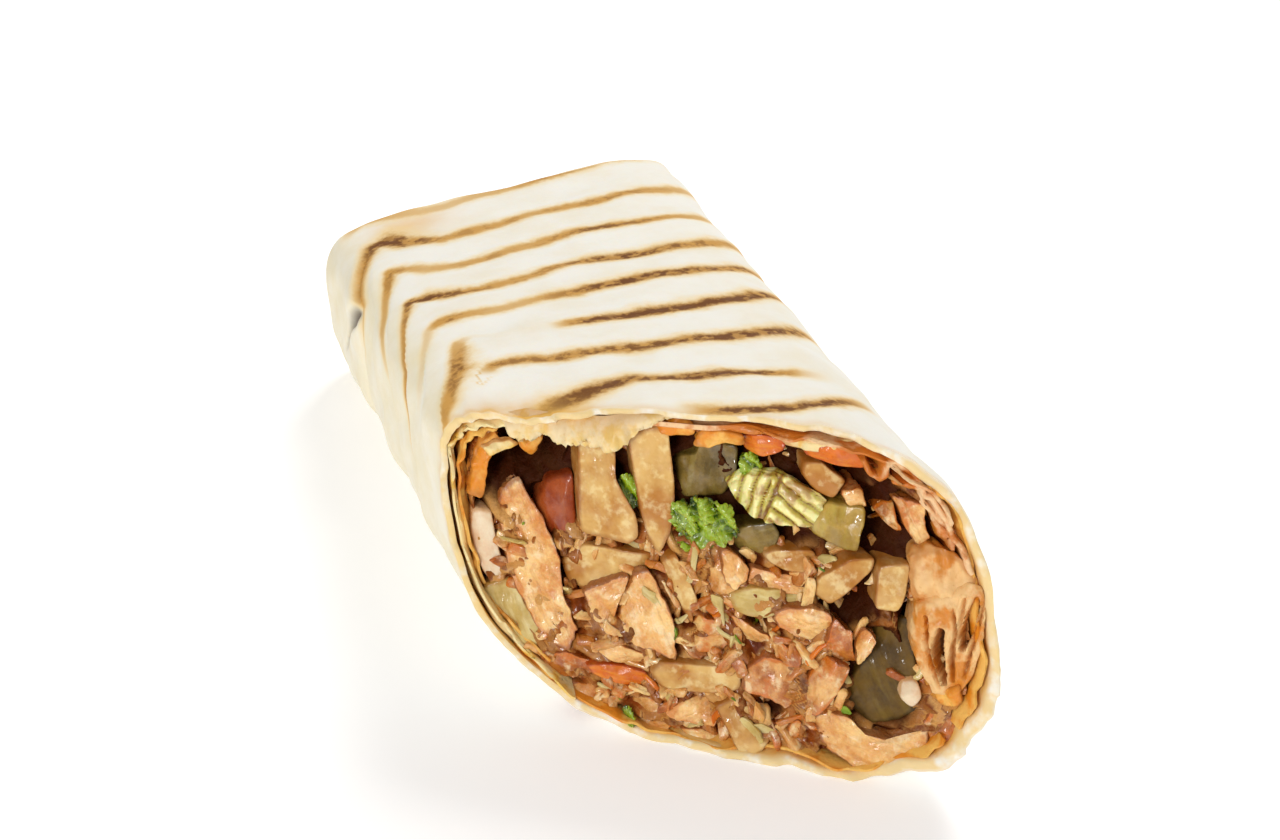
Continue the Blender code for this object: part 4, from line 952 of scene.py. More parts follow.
# Fries
# Potato cut in square sticks and fried pale. The knife went through some, so their fronts are flat and
# mealy, with a thin darker skin round the edge. Each: how deep, which way it runs, and its corners.
FRIES = {
    "fry_tall": (0.6, -78, [(-25.0, 21.3), (-18.7, 22.4), (-18.2, 15.7), (-14.6, 9.9), (-14.2, 6.3),
        (-15.5, 4.4), (-23.8, 5.4)]),
    "fry_slanting": (1.2, -80, [(-16.5, 23.9), (-10.1, 25.5), (-8.8, 17.1), (-8.5, 11.7), (-9.2, 7.0),
        (-10.9, 3.2), (-12.5, 5.4), (-14.1, 10.0), (-15.3, 16.7)]),
    "fry_top_stub": (1.6, -11, [(12.2, 23.0), (15.1, 23.5), (19.0, 20.7), (17.1, 17.4), (14.2, 18.4),
        (12.1, 20.7)]),
    "fry_right_stub": (1.0, -95, [(25.2, 7.9), (30.0, 8.9), (29.7, 3.4), (28.6, 0.6), (25.0, 0.4),
        (25.0, 4.4)]),
    "fry_left_low": (2.2, 10, [(-27.9, -0.7), (-23.9, 2.9), (-18.1, 3.0), (-12.3, 2.7), (-12.7, -0.1),
        (-19.1, -1.8), (-23.6, -5.1), (-26.4, -4.7)]),
    "fry_middle": (0.8, -58, [(-10.9, 2.4), (-7.8, 4.4), (-5.9, 1.3), (-3.8, -3.0), (-4.2, -4.7),
        (-6.0, -5.3), (-8.4, -2.0)]),
    "fry_rising": (0.9, 42, [(15.2, 3.9), (20.7, 8.4), (24.4, 8.9), (24.0, 6.8), (21.0, 3.2),
        (17.6, -0.2), (14.8, 0.9)]),
    "fry_cream": (1.2, 6, [(5.9, 6.1), (8.4, 7.8), (14.1, 8.4), (15.0, 7.4), (13.5, 4.6), (9.9, 4.6),
        (7.3, 5.0)]),
    "fry_low": (0.6, 5, [(-11.6, -16.8), (-9.8, -14.8), (-5.3, -14.1), (3.6, -13.7), (3.4, -17.6),
        (0.2, -18.7), (-9.6, -19.3)]),
    "fry_foot": (0.5, -58, [(-0.3, -20.7), (2.6, -19.1), (5.4, -20.5), (9.1, -25.0), (8.0, -27.1),
        (4.5, -29.8), (2.5, -25.4)]),
}


def flesh_finish(name, pale, deep, streak, edge, rough, coat, fibre=0.0012, clouds=0.0045, grain=0.18):
    """A cut vegetable: two shades in clouds, streaks along its own length, a darker edge and a wet film."""
    settings = {
        "Subsurface Weight": 0.12, "Subsurface Scale": 0.002, "Subsurface Radius": (1.0, 0.6, 0.3),
        "Specular IOR Level": 0.25, "Coat Roughness": 0.08,
    }
    made, shader, place = new_finish(name, settings)
    own = field(place, "own", output=1)
    cloud = noise(own, clouds, 4.0, 0.6)
    threads = noise(stretched(own, (grain, 1.0, 1.0)), fibre, 3.0, 0.6)
    fine = noise(own, 0.0009, 3.0, 0.6)
    colour = blend(stepped(cloud, 0.35, 0.68), pale, deep)
    colour = blend(stepped(threads, 0.48, 0.68) * 0.5, colour, streak)
    rim = stepped(field(place, "rim") + (cloud - 0.5), 0.5, 1.1)
    colour = blend(rim * 0.85, colour, edge)
    connect(shader, {"Base Color": colour, "Normal": relief([(threads, 0.35, 0.0003), (fine, 0.35, 0.0002)])})
    wet = stepped(noise(place, 0.003, 3.0), 0.42, 0.66, 0.0, coat)
    connect(shader, {"Roughness": stepped(fine, 0.3, 0.7, rough, rough + 0.2), "Coat Weight": wet})
    return made


def sliced(table, finishes, slot, seed, depth, rough, furrow, facets=2, crown=0.0, edge=0.25):
    """The sliced pieces of a table, each in place of the node of its name. A finish with a piece's own name
    comes before the usual one, which has the slot's."""
    for number, (name, (recess, grain_turn, corners)) in enumerate(table.items()):
        front = {"facets": facets, "crown": crown, "edge": edge, "bevel": 0.7}
        place = (corners, recess, depth, seed + number, grain_turn)
        points, faces, fields = cut_piece(*place, rough, furrow, **front)
        finish = finishes.get(name, finishes[slot])
        made = piece(name + "_cut", points, faces, finish, fields, SLICE_CREASE)
        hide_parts(name)


fried = flesh_finish(
    "fry_fried", pale=(0.70, 0.43, 0.135), deep=(0.46, 0.175, 0.020), streak=(0.90, 0.73, 0.36),
    edge=(0.30, 0.09, 0.006), rough=0.32, coat=0.8, fibre=0.0022, clouds=0.008, grain=1.0,
)
sliced(FRIES, {"fry": fried}, "fry", seed=500, depth=6.5, rough=0.10, furrow=0.03)


# Pickled cucumber
# Olive-grey sticks and slabs, half clear and shiny with brine.
PICKLES = {
    "pickle_top": (3.6, 85, [(-10.0, 19.5), (-6.0, 20.8), (-5.7, 22.5), (-1.7, 23.6), (1.0, 23.0),
        (1.0, 18.0), (-1.2, 14.4), (-8.3, 12.7)]),
    "pickle_cube": (0.8, 80, [(15.6, 16.8), (22.3, 17.1), (22.7, 15.1), (21.8, 9.6), (19.4, 9.8),
        (14.1, 11.0), (13.5, 12.5)]),
    "pickle_grey": (2.2, 20, [(1.3, 10.2), (7.4, 11.8), (8.8, 10.2), (8.3, 7.8), (5.1, 5.1), (1.5, 5.4),
        (0.5, 7.5)]),
    "pickle_slab": (2.6, -60, [(24.7, -1.6), (29.7, -1.3), (31.5, -8.3), (33.2, -12.7), (32.6, -16.1),
        (29.2, -18.5), (25.3, -19.8), (22.6, -18.5), (19.7, -15.0), (21.6, -11.6), (24.0, -7.5)]),
}
pickled = {
    "pickle": flesh_finish(
        "pickle_brined", pale=(0.26, 0.165, 0.035), deep=(0.10, 0.060, 0.008), streak=(0.34, 0.25, 0.06),
        edge=(0.055, 0.035, 0.004), rough=0.2, coat=1.0, fibre=0.002,
    ),
    "pickle_cube": flesh_finish(
        "pickle_pale", pale=(0.56, 0.35, 0.07), deep=(0.32, 0.19, 0.024), streak=(0.48, 0.38, 0.07),
        edge=(0.22, 0.12, 0.012), rough=0.2, coat=1.0, fibre=0.002,
    ),
    "pickle_slab": flesh_finish(
        "pickle_dark", pale=(0.15, 0.078, 0.006), deep=(0.070, 0.034, 0.002), streak=(0.20, 0.12, 0.012),
        edge=(0.035, 0.016, 0.001), rough=0.45, coat=0.25, fibre=0.002,
    ),
}
sliced(PICKLES, pickled, "pickle", seed=540, depth=5.5, rough=0.14, furrow=0.02, edge=0.45)


# Carrot
# Thin strips of raw carrot, orange with paler threads, wet with sauce.
CARROTS = {
    "carrot_top_left": (1.4, 6, [(1.4, 25.4), (5.0, 26.5), (9.4, 26.1), (9.1, 24.3), (5.9, 22.8),
        (1.9, 23.0)]),
    "carrot_top_right": (1.0, -12, [(12.0, 25.6), (18.1, 26.9), (22.6, 24.4), (22.0, 23.0), (19.2, 23.1),
        (12.7, 24.4)]),
    "carrot_low": (0.9, -4, [(-22.6, -17.6), (-18.0, -16.6), (-11.9, -17.3), (-12.5, -19.8),
        (-16.0, -20.3), (-21.4, -19.0)]),
}
carrot = flesh_finish(
    "carrot_raw", pale=(0.72, 0.17, 0.006), deep=(0.50, 0.080, 0.004), streak=(0.80, 0.30, 0.02),
    edge=(0.32, 0.035, 0.003), rough=0.25, coat=0.8, fibre=0.0009,
)
sliced(CARROTS, {"carrot": carrot}, "carrot", seed=560, depth=6.0, rough=0.16, furrow=0.03)


# Onion
# Two short lengths of onion, white and half clear, one tinged pink.
ONIONS = {
    "onion_white": (1.6, -76, [(-42.9, 6.2), (-39.6, 6.3), (-38.5, 0.6), (-37.0, -4.6), (-39.8, -6.6),
        (-42.2, -3.2), (-43.3, 2.1)]),
    "onion_pink": (1.4, -20, [(29.5, -11.0), (32.5, -10.6), (33.5, -13.0), (32.0, -15.4), (29.9, -14.2)]),
}
onion = flesh_finish(
    "onion_raw", pale=(0.82, 0.66, 0.45), deep=(0.72, 0.45, 0.25), streak=(0.90, 0.80, 0.62),
    edge=(0.60, 0.30, 0.10), rough=0.15, coat=1.0, fibre=0.0014,
)
round_cut = {"facets": 1, "crown": 0.4, "edge": 0.6}
sliced(ONIONS, {"onion": onion}, "onion", seed=580, depth=5.0, rough=0.12, furrow=0.01, **round_cut)


# Tomato
# One wedge of ripe tomato, set back in the dark at the upper left, with a smooth wet skin.
TOMATO = (
    3.0, -76, [(-32.9, 7.8), (-30.7, 12.4), (-26.1, 14.6), (-25.1, 4.1), (-25.7, 1.6), (-28.5, 0.6),
    (-30.9, 3.9)],
)
tomato_red = flesh_finish(
    "tomato_ripe", pale=(0.38, 0.075, 0.014), deep=(0.24, 0.030, 0.005), streak=(0.44, 0.13, 0.03),
    edge=(0.14, 0.016, 0.003), rough=0.2, coat=0.8, fibre=0.002,
)
skin_side = {"facets": 0, "crown": 0.9, "edge": 0.8}
one_wedge, ripe = {"tomato": TOMATO}, {"tomato": tomato_red}
sliced(one_wedge, ripe, "tomato", seed=590, depth=5.0, rough=0.10, furrow=0.01, **skin_side)


# Cabbage stem
# A short piece of the ribbed foot of a leaf: yellow-green, with raised ribs and brown lines between them.
STEM = [
    (0.2, 17.0), (4.0, 19.7), (10.1, 20.4), (16.4, 17.5), (14.3, 12.4), (9.1, 12.1), (4.2, 12.8),
    (1.6, 14.8),
]


def stem_parts():
    """The stem's front from its outline, with sharp ribs: sine waves up and down on its left half, slanting
    on its right, and a split between the two."""
    shape = {"depth": 4.0, "seed": 600, "grain_turn": 80, "rough": 0.30, "furrow": 0.05, "facets": 2}
    points, faces, fields = cut_piece(STEM, 0.4, **shape)
    u, t = in_face(points)
    bent = 0.22 * ripple(points, 0.004, 601)
    left = np.abs(np.sin((u - 0.25 * t + bent) * 1.35))
    right = np.abs(np.sin((u * 0.75 + t + bent) * 1.2))
    split = bell(u - 0.35 * (t - 16), 7.4, 0.5)
    rib = mixed(left, right, ease(u, 7.0, 7.8)) * (1 - split)
    front = ease((FACE_MIDDLE - points) @ FACE_OUT * 1000, 2.5, 0.8)
    points = points + FACE_OUT * (0.0009 * (rib**0.7 - 0.6) * front)[:, None]
    return points, faces, {**fields, "rib": rib}


RIB_GROOVE, RIB_SIDE = (0.26, 0.11, 0.010), (0.58, 0.47, 0.07)
RIB_CREST, RIB_STAIN = (0.92, 0.82, 0.34), (0.34, 0.13, 0.015)


def stem_finish():
    """Blanched yellow-green, brighter along the ribs and brown in the lines between them."""
    soft = {"Subsurface Weight": 0.3, "Subsurface Scale": 0.002, "Coat Roughness": 0.1}
    made, shader, place = new_finish("cabbage_stem_cut", soft)
    rib = field(place, "rib")
    fine = noise(place, 0.0012, 4.0, 0.6)
    colour = blend(stepped(rib + (fine - 0.5) * 0.5, 0.05, 0.45), RIB_GROOVE, RIB_SIDE)
    colour = blend(stepped(rib + (fine - 0.5) * 0.7, 0.5, 0.9), colour, RIB_CREST)
    colour = blend(stepped(noise(place, 0.004, 3.0), 0.52, 0.66) * 0.7, colour, RIB_STAIN)
    connect(shader, {"Base Color": colour, "Normal": relief([(fine, 0.5, 0.0003)])})
    connect(shader, {"Coat Weight": stepped(fine, 0.3, 0.6, 0.4, 1.0)})
    connect(shader, {"Roughness": stepped(fine, 0.3, 0.7, 0.25, 0.45)})
    return made


stem_points, stem_faces, stem_fields = stem_parts()
stem = piece("cabbage_stem_cut", stem_points, stem_faces, stem_finish(), stem_fields, SLICE_CREASE)
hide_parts("cabbage_stem")


# Cabbage leaves
# Two pieces of pale yellow-green leaf, pressed flat between the rest.
CABBAGE = {
    "cabbage_left": (1.4, -60, [(-40.7, -6.9), (-35.9, -5.3), (-34.0, -8.7), (-31.0, -12.9),
        (-30.9, -17.3), (-34.2, -16.5), (-37.7, -12.3), (-40.1, -9.2)]),
    "cabbage_right": (1.2, 0, [(0.7, -1.1), (5.0, 0.9), (12.8, 1.3), (17.7, 1.3), (13.0, -1.7),
        (6.5, -4.4), (2.4, -4.3)]),
}
cabbage = flesh_finish(
    "cabbage_pale", pale=(0.68, 0.52, 0.20), deep=(0.50, 0.33, 0.08), streak=(0.78, 0.66, 0.33),
    edge=(0.42, 0.20, 0.03), rough=0.25, coat=0.8, fibre=0.0014,
)
sliced(CABBAGE, {"cabbage": cabbage}, "cabbage", seed=610, depth=3.5, rough=0.22, furrow=0.05)


# Parsley
# A curly green sprig: a dark clump with brighter frilled leaves in front of it, and a few leaves apart. Its
# leaves' hollows are darkened with painted shade.
LEAF_CELLS, LEAF_THICK, LEAF_SEED = 60, 0.0005, 640


def frilled_leaf(at, size, turn, deep, ruffles, height, seed):
    """A leaf's middle in the cut's plane: rounded corners, and crossed waves that grow towards its edge."""
    phase = np.random.default_rng(seed).uniform(0, 2 * np.pi, 3)
    steps = np.linspace(-1, 1, LEAF_CELLS)
    s, t = np.meshgrid(steps, steps, indexing="ij")
    rounding = np.sqrt(1 - 0.45 * s**2 * t**2 - 0.2 * t**2)
    edge = np.maximum(abs(s), abs(t))
    place = np.stack([s, t, 0 * s], axis=-1)
    frill = 1 + 0.12 * ripple(place, 0.30, seed) * edge**3
    x = size[0] / 2 * s * rounding * frill
    y = size[1] / 2 * t * rounding * frill
    wave = np.sin(ruffles * s + phase[0]) * np.cos(ruffles * 0.8 * t + phase[1])
    wave = wave + 0.6 * np.sin(ruffles * 1.6 * (s + t) + phase[2])
    z = height * wave * (0.35 + 0.65 * edge) + 0.14 * height * ripple(place, 0.35, seed + 1)
    angle = math.radians(turn)
    u = at[0] + x * math.cos(angle) - y * math.sin(angle)
    v = at[1] + x * math.sin(angle) + y * math.cos(angle)
    # The leaf's height is kept to paint shade into its hollows
    return on_face(u, v, deep - z), {"edge": edge, "crest": 0.5 + z / height / 3}


def leaf_finish(name, pale, deep, vein):
    """A leaf: darker in its hollows with painted shade and brighter on its crests, with a net of veins and a
    wet film.
    """
    soft = {"Subsurface Weight": 0.25, "Subsurface Scale": 0.0015, "Coat Roughness": 0.1}
    made, shader, place = new_finish(name, soft)
    cloud = noise(place, 0.003, 4.0, 0.6)
    cells = {"Vector": place, "Scale": 1 / 0.0016}
    net = place.node("ShaderNodeTexVoronoi", {"feature": "DISTANCE_TO_EDGE"}, cells)
    # Painted shade: the second colour, nearly black green, fills the hollows and fades out towards the crests
    colour = blend(stepped(field(place, "crest") + (cloud - 0.5) * 0.6, 0.25, 0.75), deep, pale)
    colour = blend(stepped(net, 0.10, 0.0) * 0.4, colour, vein)
    connect(shader, {"Base Color": colour, "Normal": relief([(net, 0.4, 0.0003), (cloud, 0.4, 0.0006)])})
    connect(shader, {"Coat Weight": stepped(cloud, 0.3, 0.6, 0.4, 1.0)})
    connect(shader, {"Roughness": stepped(cloud, 0.3, 0.7, 0.22, 0.4)})
    return made


# Each leaf: its middle (u, t), its size, how far it is turned, how deep it lies, how many ruffles, and how
# high they are
SPRIG = [
    ((-4.4, 9.0), (8.8, 8.6), 10, 2.4, 3.6, 1.0),
    ((0.0, 11.6), (4.4, 6.6), 12, 0.6, 2.0, 1.3),
    ((-3.9, 12.6), (4.4, 4.4), -20, 1.0, 2.2, 1.1),
    ((-6.9, 10.2), (3.4, 6.4), 30, 1.7, 2.4, 0.8),
    ((-16.6, 13.2), (3.0, 6.4), 15, 2.4, 2.4, 0.5),
    ((3.2, 20.6), (3.2, 4.4), 20, 3.0, 2.6, 0.6),
    ((-14.8, -25.2), (1.5, 4.0), 25, 0.6, 2.0, 0.2),
]
# The second colour is the painted shade in the leaves' hollows
parsley_green = leaf_finish("parsley_fresh", (0.30, 0.43, 0.010), (0.022, 0.065, 0.002), (0.44, 0.54, 0.04))
for number, shape in enumerate(SPRIG):
    leaf_middle, leaf_fields = frilled_leaf(*shape, seed=LEAF_SEED + number)
    leaf = thin_sheet(f"parsley_leaf_{number + 1}", leaf_middle, LEAF_THICK, parsley_green, leaf_fields)
    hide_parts("parsley")


# Shreds and chips
# Between the larger pieces the filling is chopped fine: slivers of chicken, with a few of cabbage, carrot
# and herb. They lie on the heap at all angles, mostly flat to the cut.
def face_depth(u, t):
    """How deep the heap lies at places on the cut, in millimetres, from its nearest points."""
    face = heap_points[-HEAP_FACE_ROWS:, ::2].reshape(-1, 3)
    face_u, face_t = in_face(face)
    deep = (FACE_MIDDLE - face) @ FACE_OUT * 1000
    nearest = np.argmin((u[:, None] - face_u) ** 2 + (t[:, None] - face_t) ** 2, axis=1)
    return deep[nearest]


def inside(u, t, corners):
    """Which places are inside an outline: those whose line to the right crosses it an odd number of times."""
    start, stop = np.array(corners), np.roll(corners, -1, axis=0)
    crosses = (start[:, 1] > t[:, None]) != (stop[:, 1] > t[:, None])
    slope = (stop[:, 0] - start[:, 0]) / (stop[:, 1] - start[:, 1] + 1e-9)
    return (crosses & (u[:, None] < start[:, 0] + (t[:, None] - start[:, 1]) * slope)).sum(axis=1) % 2 == 1


# Where no shred lies: on the larger pieces, on the sprig, and in the dark gaps between them
SPRIG_PLACE = [(-9.5, 4.5), (-9, 14), (-1, 17), (3, 13), (1, 5)]
GAPS = [
    [(-38, 21), (-25, 21), (-26, 7), (-33, 8), (-38, 14)],
    [(18.5, 0.5), (23, 4.5), (25.5, 0.5), (24, -2.5), (19, -2.5)],
    [(22.5, 9.5), (29, 10), (31, 17), (23, 17.5)],
    [(-13, 21), (-5, 26), (4, 25), (1, 17), (-8, 15)],
]
covered = [corners for *_, corners in CHICKEN] + [STEM, TOMATO[2], SPRIG_PLACE, *GAPS]
for group in (FRIES, PICKLES, CARROTS, ONIONS, CABBAGE):
    covered += [corners for *_, corners in group.values()]
SPREAD_MIDDLE, SPREAD, STRAYS, FLOOR_GAP = (-1.5, -1.0), (38.5, 25.5), 0.06, 0.0015
SHRED_ROWS, SHRED_COLUMNS, SHRED_SQUARE = 8, 14, 0.45


def shreds(count, seed, long, wide, thick, low, high, out):
    """Many slivers as one mesh: each is a ball whose directions are raised to a power, so that it's a box
    with soft edges, then sized, tapered, sheared, bent and lumpy, and turned its own way on the heap."""
    rng = np.random.default_rng(seed)
    angle = rng.uniform(0, 2 * np.pi, count * 8)
    far = np.sqrt(rng.uniform(0, 1, count * 8))
    u = SPREAD_MIDDLE[0] + SPREAD[0] * far * np.cos(angle)
    t = SPREAD_MIDDLE[1] + SPREAD[1] * far * np.sin(angle)
    hidden = np.any([inside(u, t, corners) for corners in covered], axis=0)
    hidden = hidden & (rng.uniform(0, 1, count * 8) > STRAYS)
    chosen = np.flatnonzero((t > low) & (t < high) & ~hidden)[:count]
    u, t = u[chosen], t[chosen]
    count = len(u)
    deep = face_depth(u, t) - rng.uniform(out[0], out[1], count)
    ring = np.linspace(0, np.pi, SHRED_ROWS + 2)[1:-1, None]
    around = np.linspace(0, 2 * np.pi, SHRED_COLUMNS + 1)[None, :-1]
    ball = np.broadcast_arrays(np.cos(ring), np.sin(ring) * np.cos(around), np.sin(ring) * np.sin(around))
    ball = np.vstack([np.stack(ball, axis=-1).reshape(-1, 3), [[1, 0, 0], [-1, 0, 0]]])
    box = (np.sign(ball) * np.abs(ball) ** SHRED_SQUARE)[None]
    size = np.stack([rng.uniform(*span, count) for span in (long, wide, thick)], axis=-1) / 2
    shape = box * size[:, None]
    shape[..., 1] *= 1 - rng.uniform(0.0, 0.7, (count, 1)) * (0.5 + 0.5 * box[..., 0])
    shape[..., 0] += rng.uniform(-0.8, 0.8, (count, 1)) * shape[..., 1]
    bend = shape[..., 0] ** 2 / size[:, :1]
    shape[..., 1] += rng.uniform(-0.25, 0.25, (count, 1)) * bend
    shape[..., 2] += rng.uniform(-0.25, 0.25, (count, 1)) * bend
    shape += 0.12 * ripple(shape + rng.uniform(-90, 90, (count, 1, 3)), 1.2, seed)[..., None]
    turn, tilt, roll = rng.uniform(0, 2 * np.pi, count), rng.normal(0, 0.35, count), rng.normal(0, 0.7, count)
    for first, second, amount in ((1, 2, roll), (2, 0, tilt), (0, 1, turn)):
        cosine, sine = np.cos(amount)[:, None], np.sin(amount)[:, None]
        kept = shape[..., first].copy()
        shape[..., first] = kept * cosine - shape[..., second] * sine
        shape[..., second] = kept * sine + shape[..., second] * cosine
    points = on_face(u[:, None] + shape[..., 0], t[:, None] + shape[..., 1], deep[:, None] - shape[..., 2])
    points[..., 2] = np.maximum(points[..., 2], FLOOR_GAP)
    own = (box * size[:, None] + rng.uniform(-500, 500, (count, 1, 3))) / 1000
    one = outward(points[0], skin_faces(SHRED_ROWS, SHRED_COLUMNS))
    starts = range(0, count * len(ball), len(ball))
    faces = [[corner + start for corner in face] for start in starts for face in one]
    tint = np.broadcast_to(rng.beta(1.0, 1.2, (count, 1)), points.shape[:2])
    rim = rng.uniform(0.0, 0.9, (count, 1)) * ease(box[..., 2], 0.2, -0.8)
    fields = {"own": own.reshape(-1, 3), "piece_tint": tint.ravel(), "rim": rim.ravel()}
    return points.reshape(-1, 3), faces, fields


def scatter(name, parts, finish, node):
    """Slivers as one piece in place of a node."""
    points, faces, fields = parts
    made = piece(name, points, faces, finish, fields, crease=40)
    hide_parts(node)


parsley_cut = flesh_finish(
    "parsley_cut", pale=(0.20, 0.32, 0.010), deep=(0.06, 0.12, 0.004), streak=(0.30, 0.42, 0.03),
    edge=(0.03, 0.06, 0.002), rough=0.3, coat=0.8,
)
# Each kind: how many and its seed, its length, width and thickness, the heights t between which it lies, and
# how far it stands off the heap
low_shreds = shreds(240, 801, (2.0, 6.0), (0.9, 2.4), (0.6, 1.4), -30, 9, (-0.7, 0.4))
scatter("chicken_shreds", low_shreds, roast, "chicken_filling")
high_shreds = shreds(50, 802, (1.5, 4.0), (0.7, 1.5), (0.5, 1.1), 9, 26, (-0.6, 0.2))
scatter("chicken_shreds_high", high_shreds, roast, "chicken_filling")
cabbage_strips = shreds(22, 803, (2.5, 6.5), (0.9, 1.8), (0.4, 0.8), -28, 8, (0.0, 0.6))
scatter("cabbage_shreds", cabbage_strips, cabbage, "cabbage_left")
carrot_strips = shreds(8, 804, (2.0, 5.0), (0.9, 1.4), (0.6, 1.0), -28, 2, (0.0, 0.6))
scatter("carrot_shreds", carrot_strips, carrot, "carrot_low")
herb_flecks = shreds(14, 805, (0.8, 2.4), (0.7, 1.5), (0.2, 0.4), -28, 22, (0.2, 0.8))
scatter("parsley_flecks", herb_flecks, parsley_cut, "parsley")


# The loose and crumpled bread at the cut
# The sheet's inner end lies in folds at the right, soaked pink and orange, and its torn outer edge hangs
# over the upper left, with crumpled scraps of it under there.
FOLD_BACK, FOLD_WAVE, FOLD_TORN, FOLD_SEED = 7.0, 6.0, 0.4, 700


def fold(name, path, front, thickness, wiggle, seed):
    """Part of the sheet seen on edge: its line is smoothed by a running mean, made wavy, and carried back
    from a torn front edge."""
    line = np.array(path, dtype=float)
    fine = np.linspace(0, 1, 400)
    line = np.stack([np.interp(fine, np.linspace(0, 1, len(line)), line[:, i]) for i in range(2)], axis=1)
    width = int(400 / len(path) * 0.7) | 1
    weights = np.hanning(width + 2)[1:-1]
    padded = np.pad(line, ((width // 2, width // 2), (0, 0)), mode="reflect", reflect_type="odd")
    smooth = [np.convolve(padded[:, i], weights / weights.sum(), mode="valid") for i in range(2)]
    line = np.stack(smooth, axis=1)
    line = evenly(line, int(16 + 2.6 * np.linalg.norm(np.diff(line, axis=0), axis=1).sum()))
    share = np.linspace(0, 1, 14)[:, None]
    deep = mixed(FOLD_BACK, front, share)
    place = np.stack(np.broadcast_arrays(line[:, 0], line[:, 1], deep * 0.35), axis=-1)
    u = line[:, 0] + wiggle * ripple(place, FOLD_WAVE, seed)
    t = line[:, 1] + wiggle * ripple(place, FOLD_WAVE, seed + 1)
    ragged = FOLD_TORN * ripple(place[..., :2] + 9, 2.4, seed + 2)
    middle = on_face(u, t, front + ragged * ease(share, 0.5, 1.0), deep - front)
    thin = thickness / 1000 * mixed(1.0, 0.6, ease(share, 0.85, 1.0))
    made = thin_sheet(name, middle, thin, pink_dough, {"edge": 0.35 + 0.65 * share})
    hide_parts("flatbread")


# Each: the line it follows (u, t), how deep its edge lies, how thick it is and how wavy, in millimetres
FOLDS = [
    ([(22.2, 25.5), (23.2, 23.4), (24.6, 22.4), (26.0, 23.2), (26.2, 24.8), (27.6, 25.4), (29.6, 24.2),
        (31.2, 22.6), (32.0, 21.0), (33.6, 20.7), (34.6, 19.0), (36.2, 17.4), (37.0, 15.2), (38.6, 12.4),
        (40.2, 9.4)], 0.3, 1.0, 0.3),
    ([(26.6, 22.0), (28.8, 21.2), (30.2, 21.6), (31.4, 19.4), (33.0, 18.4), (34.2, 16.0), (35.8, 14.8),
        (36.6, 12.4)], 1.4, 0.9, 0.4),
]
for number, settings in enumerate(FOLDS):
    fold(f"flatbread_fold_{number + 1}", *settings, seed=FOLD_SEED + 5 * number)

# Soft lumps of crumpled sheet: which dough, how deep, how far back, how domed, and the corners (u, t)
LUMPS = [
    (fold_dough, 0.9, 5.0, 0.7, [(30.6, 11.2), (33.6, 13.0), (37.6, 12.0), (40.6, 9.2), (42.2, 6.0),
        (41.9, 3.0), (38.6, 2.2), (34.8, 0.6), (32.4, 0.4), (31.0, 3.6), (30.2, 7.4)]),
    (pink_dough, 2.4, 5.0, 0.6, [(26.6, 23.8), (31.0, 22.2), (35.0, 18.0), (39.0, 12.4), (36.2, 12.4),
        (32.8, 14.8), (31.8, 18.8), (27.8, 20.8)]),
    (orange_dough, 0.6, 5.0, 0.8, [(34.2, -10.6), (37.0, -10.0), (39.6, -9.0), (40.0, -12.0),
        (38.4, -13.8), (35.0, -13.0)]),
    (orange_dough, 1.0, 3.0, 0.5, [(-43.6, 8.6), (-43.0, 14.0), (-41.2, 18.4), (-38.8, 20.8),
        (-37.6, 18.4), (-39.6, 15.4), (-40.4, 12.0), (-40.9, 8.2)]),
    (yellow_dough, 0.2, 1.4, 0.4, [(-41.0, 17.4), (-38.8, 18.8), (-35.6, 19.4), (-34.9, 18.2),
        (-37.4, 17.2), (-39.8, 15.8)]),
    (orange_dough, 1.2, 1.4, 0.3, [(-35.2, 21.6), (-32.8, 21.4), (-30.4, 20.9), (-31.6, 18.2),
        (-33.2, 16.2), (-34.6, 18.6)]),
    (orange_dough, 0.8, 2.0, 0.4, [(-12.6, 26.2), (-9.4, 27.6), (-5.8, 27.2), (-4.6, 25.4), (-7.6, 24.4),
        (-10.8, 24.0)]),
    (orange_dough, 0.7, 1.6, 0.4, [(-5.4, 24.4), (-3.8, 26.2), (0.4, 26.8), (3.0, 25.6), (2.4, 23.9),
        (-0.6, 24.5), (-3.0, 23.2), (-5.0, 23.3)]),
    (yellow_dough, 0.9, 2.0, 0.3, [(8.6, 26.6), (14.0, 27.2), (19.4, 28.0), (24.6, 26.2), (21.0, 25.6),
        (14.0, 25.2), (9.2, 25.4)]),
]
for number, (dough, recess, depth, crown, corners) in enumerate(LUMPS):
    shape = {"rough": 0.55, "furrow": 0.02, "facets": 1, "crown": crown, "edge": 0.4}
    points, faces, fields = cut_piece(corners, recess, depth, 720 + number, 30 * number, **shape)
    fields = {"edge": 1 - 0.6 * fields["rim"]}
    lump = piece(f"flatbread_crumple_{number + 1}", points, faces, dough, fields, SLICE_CREASE)
    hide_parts("flatbread")

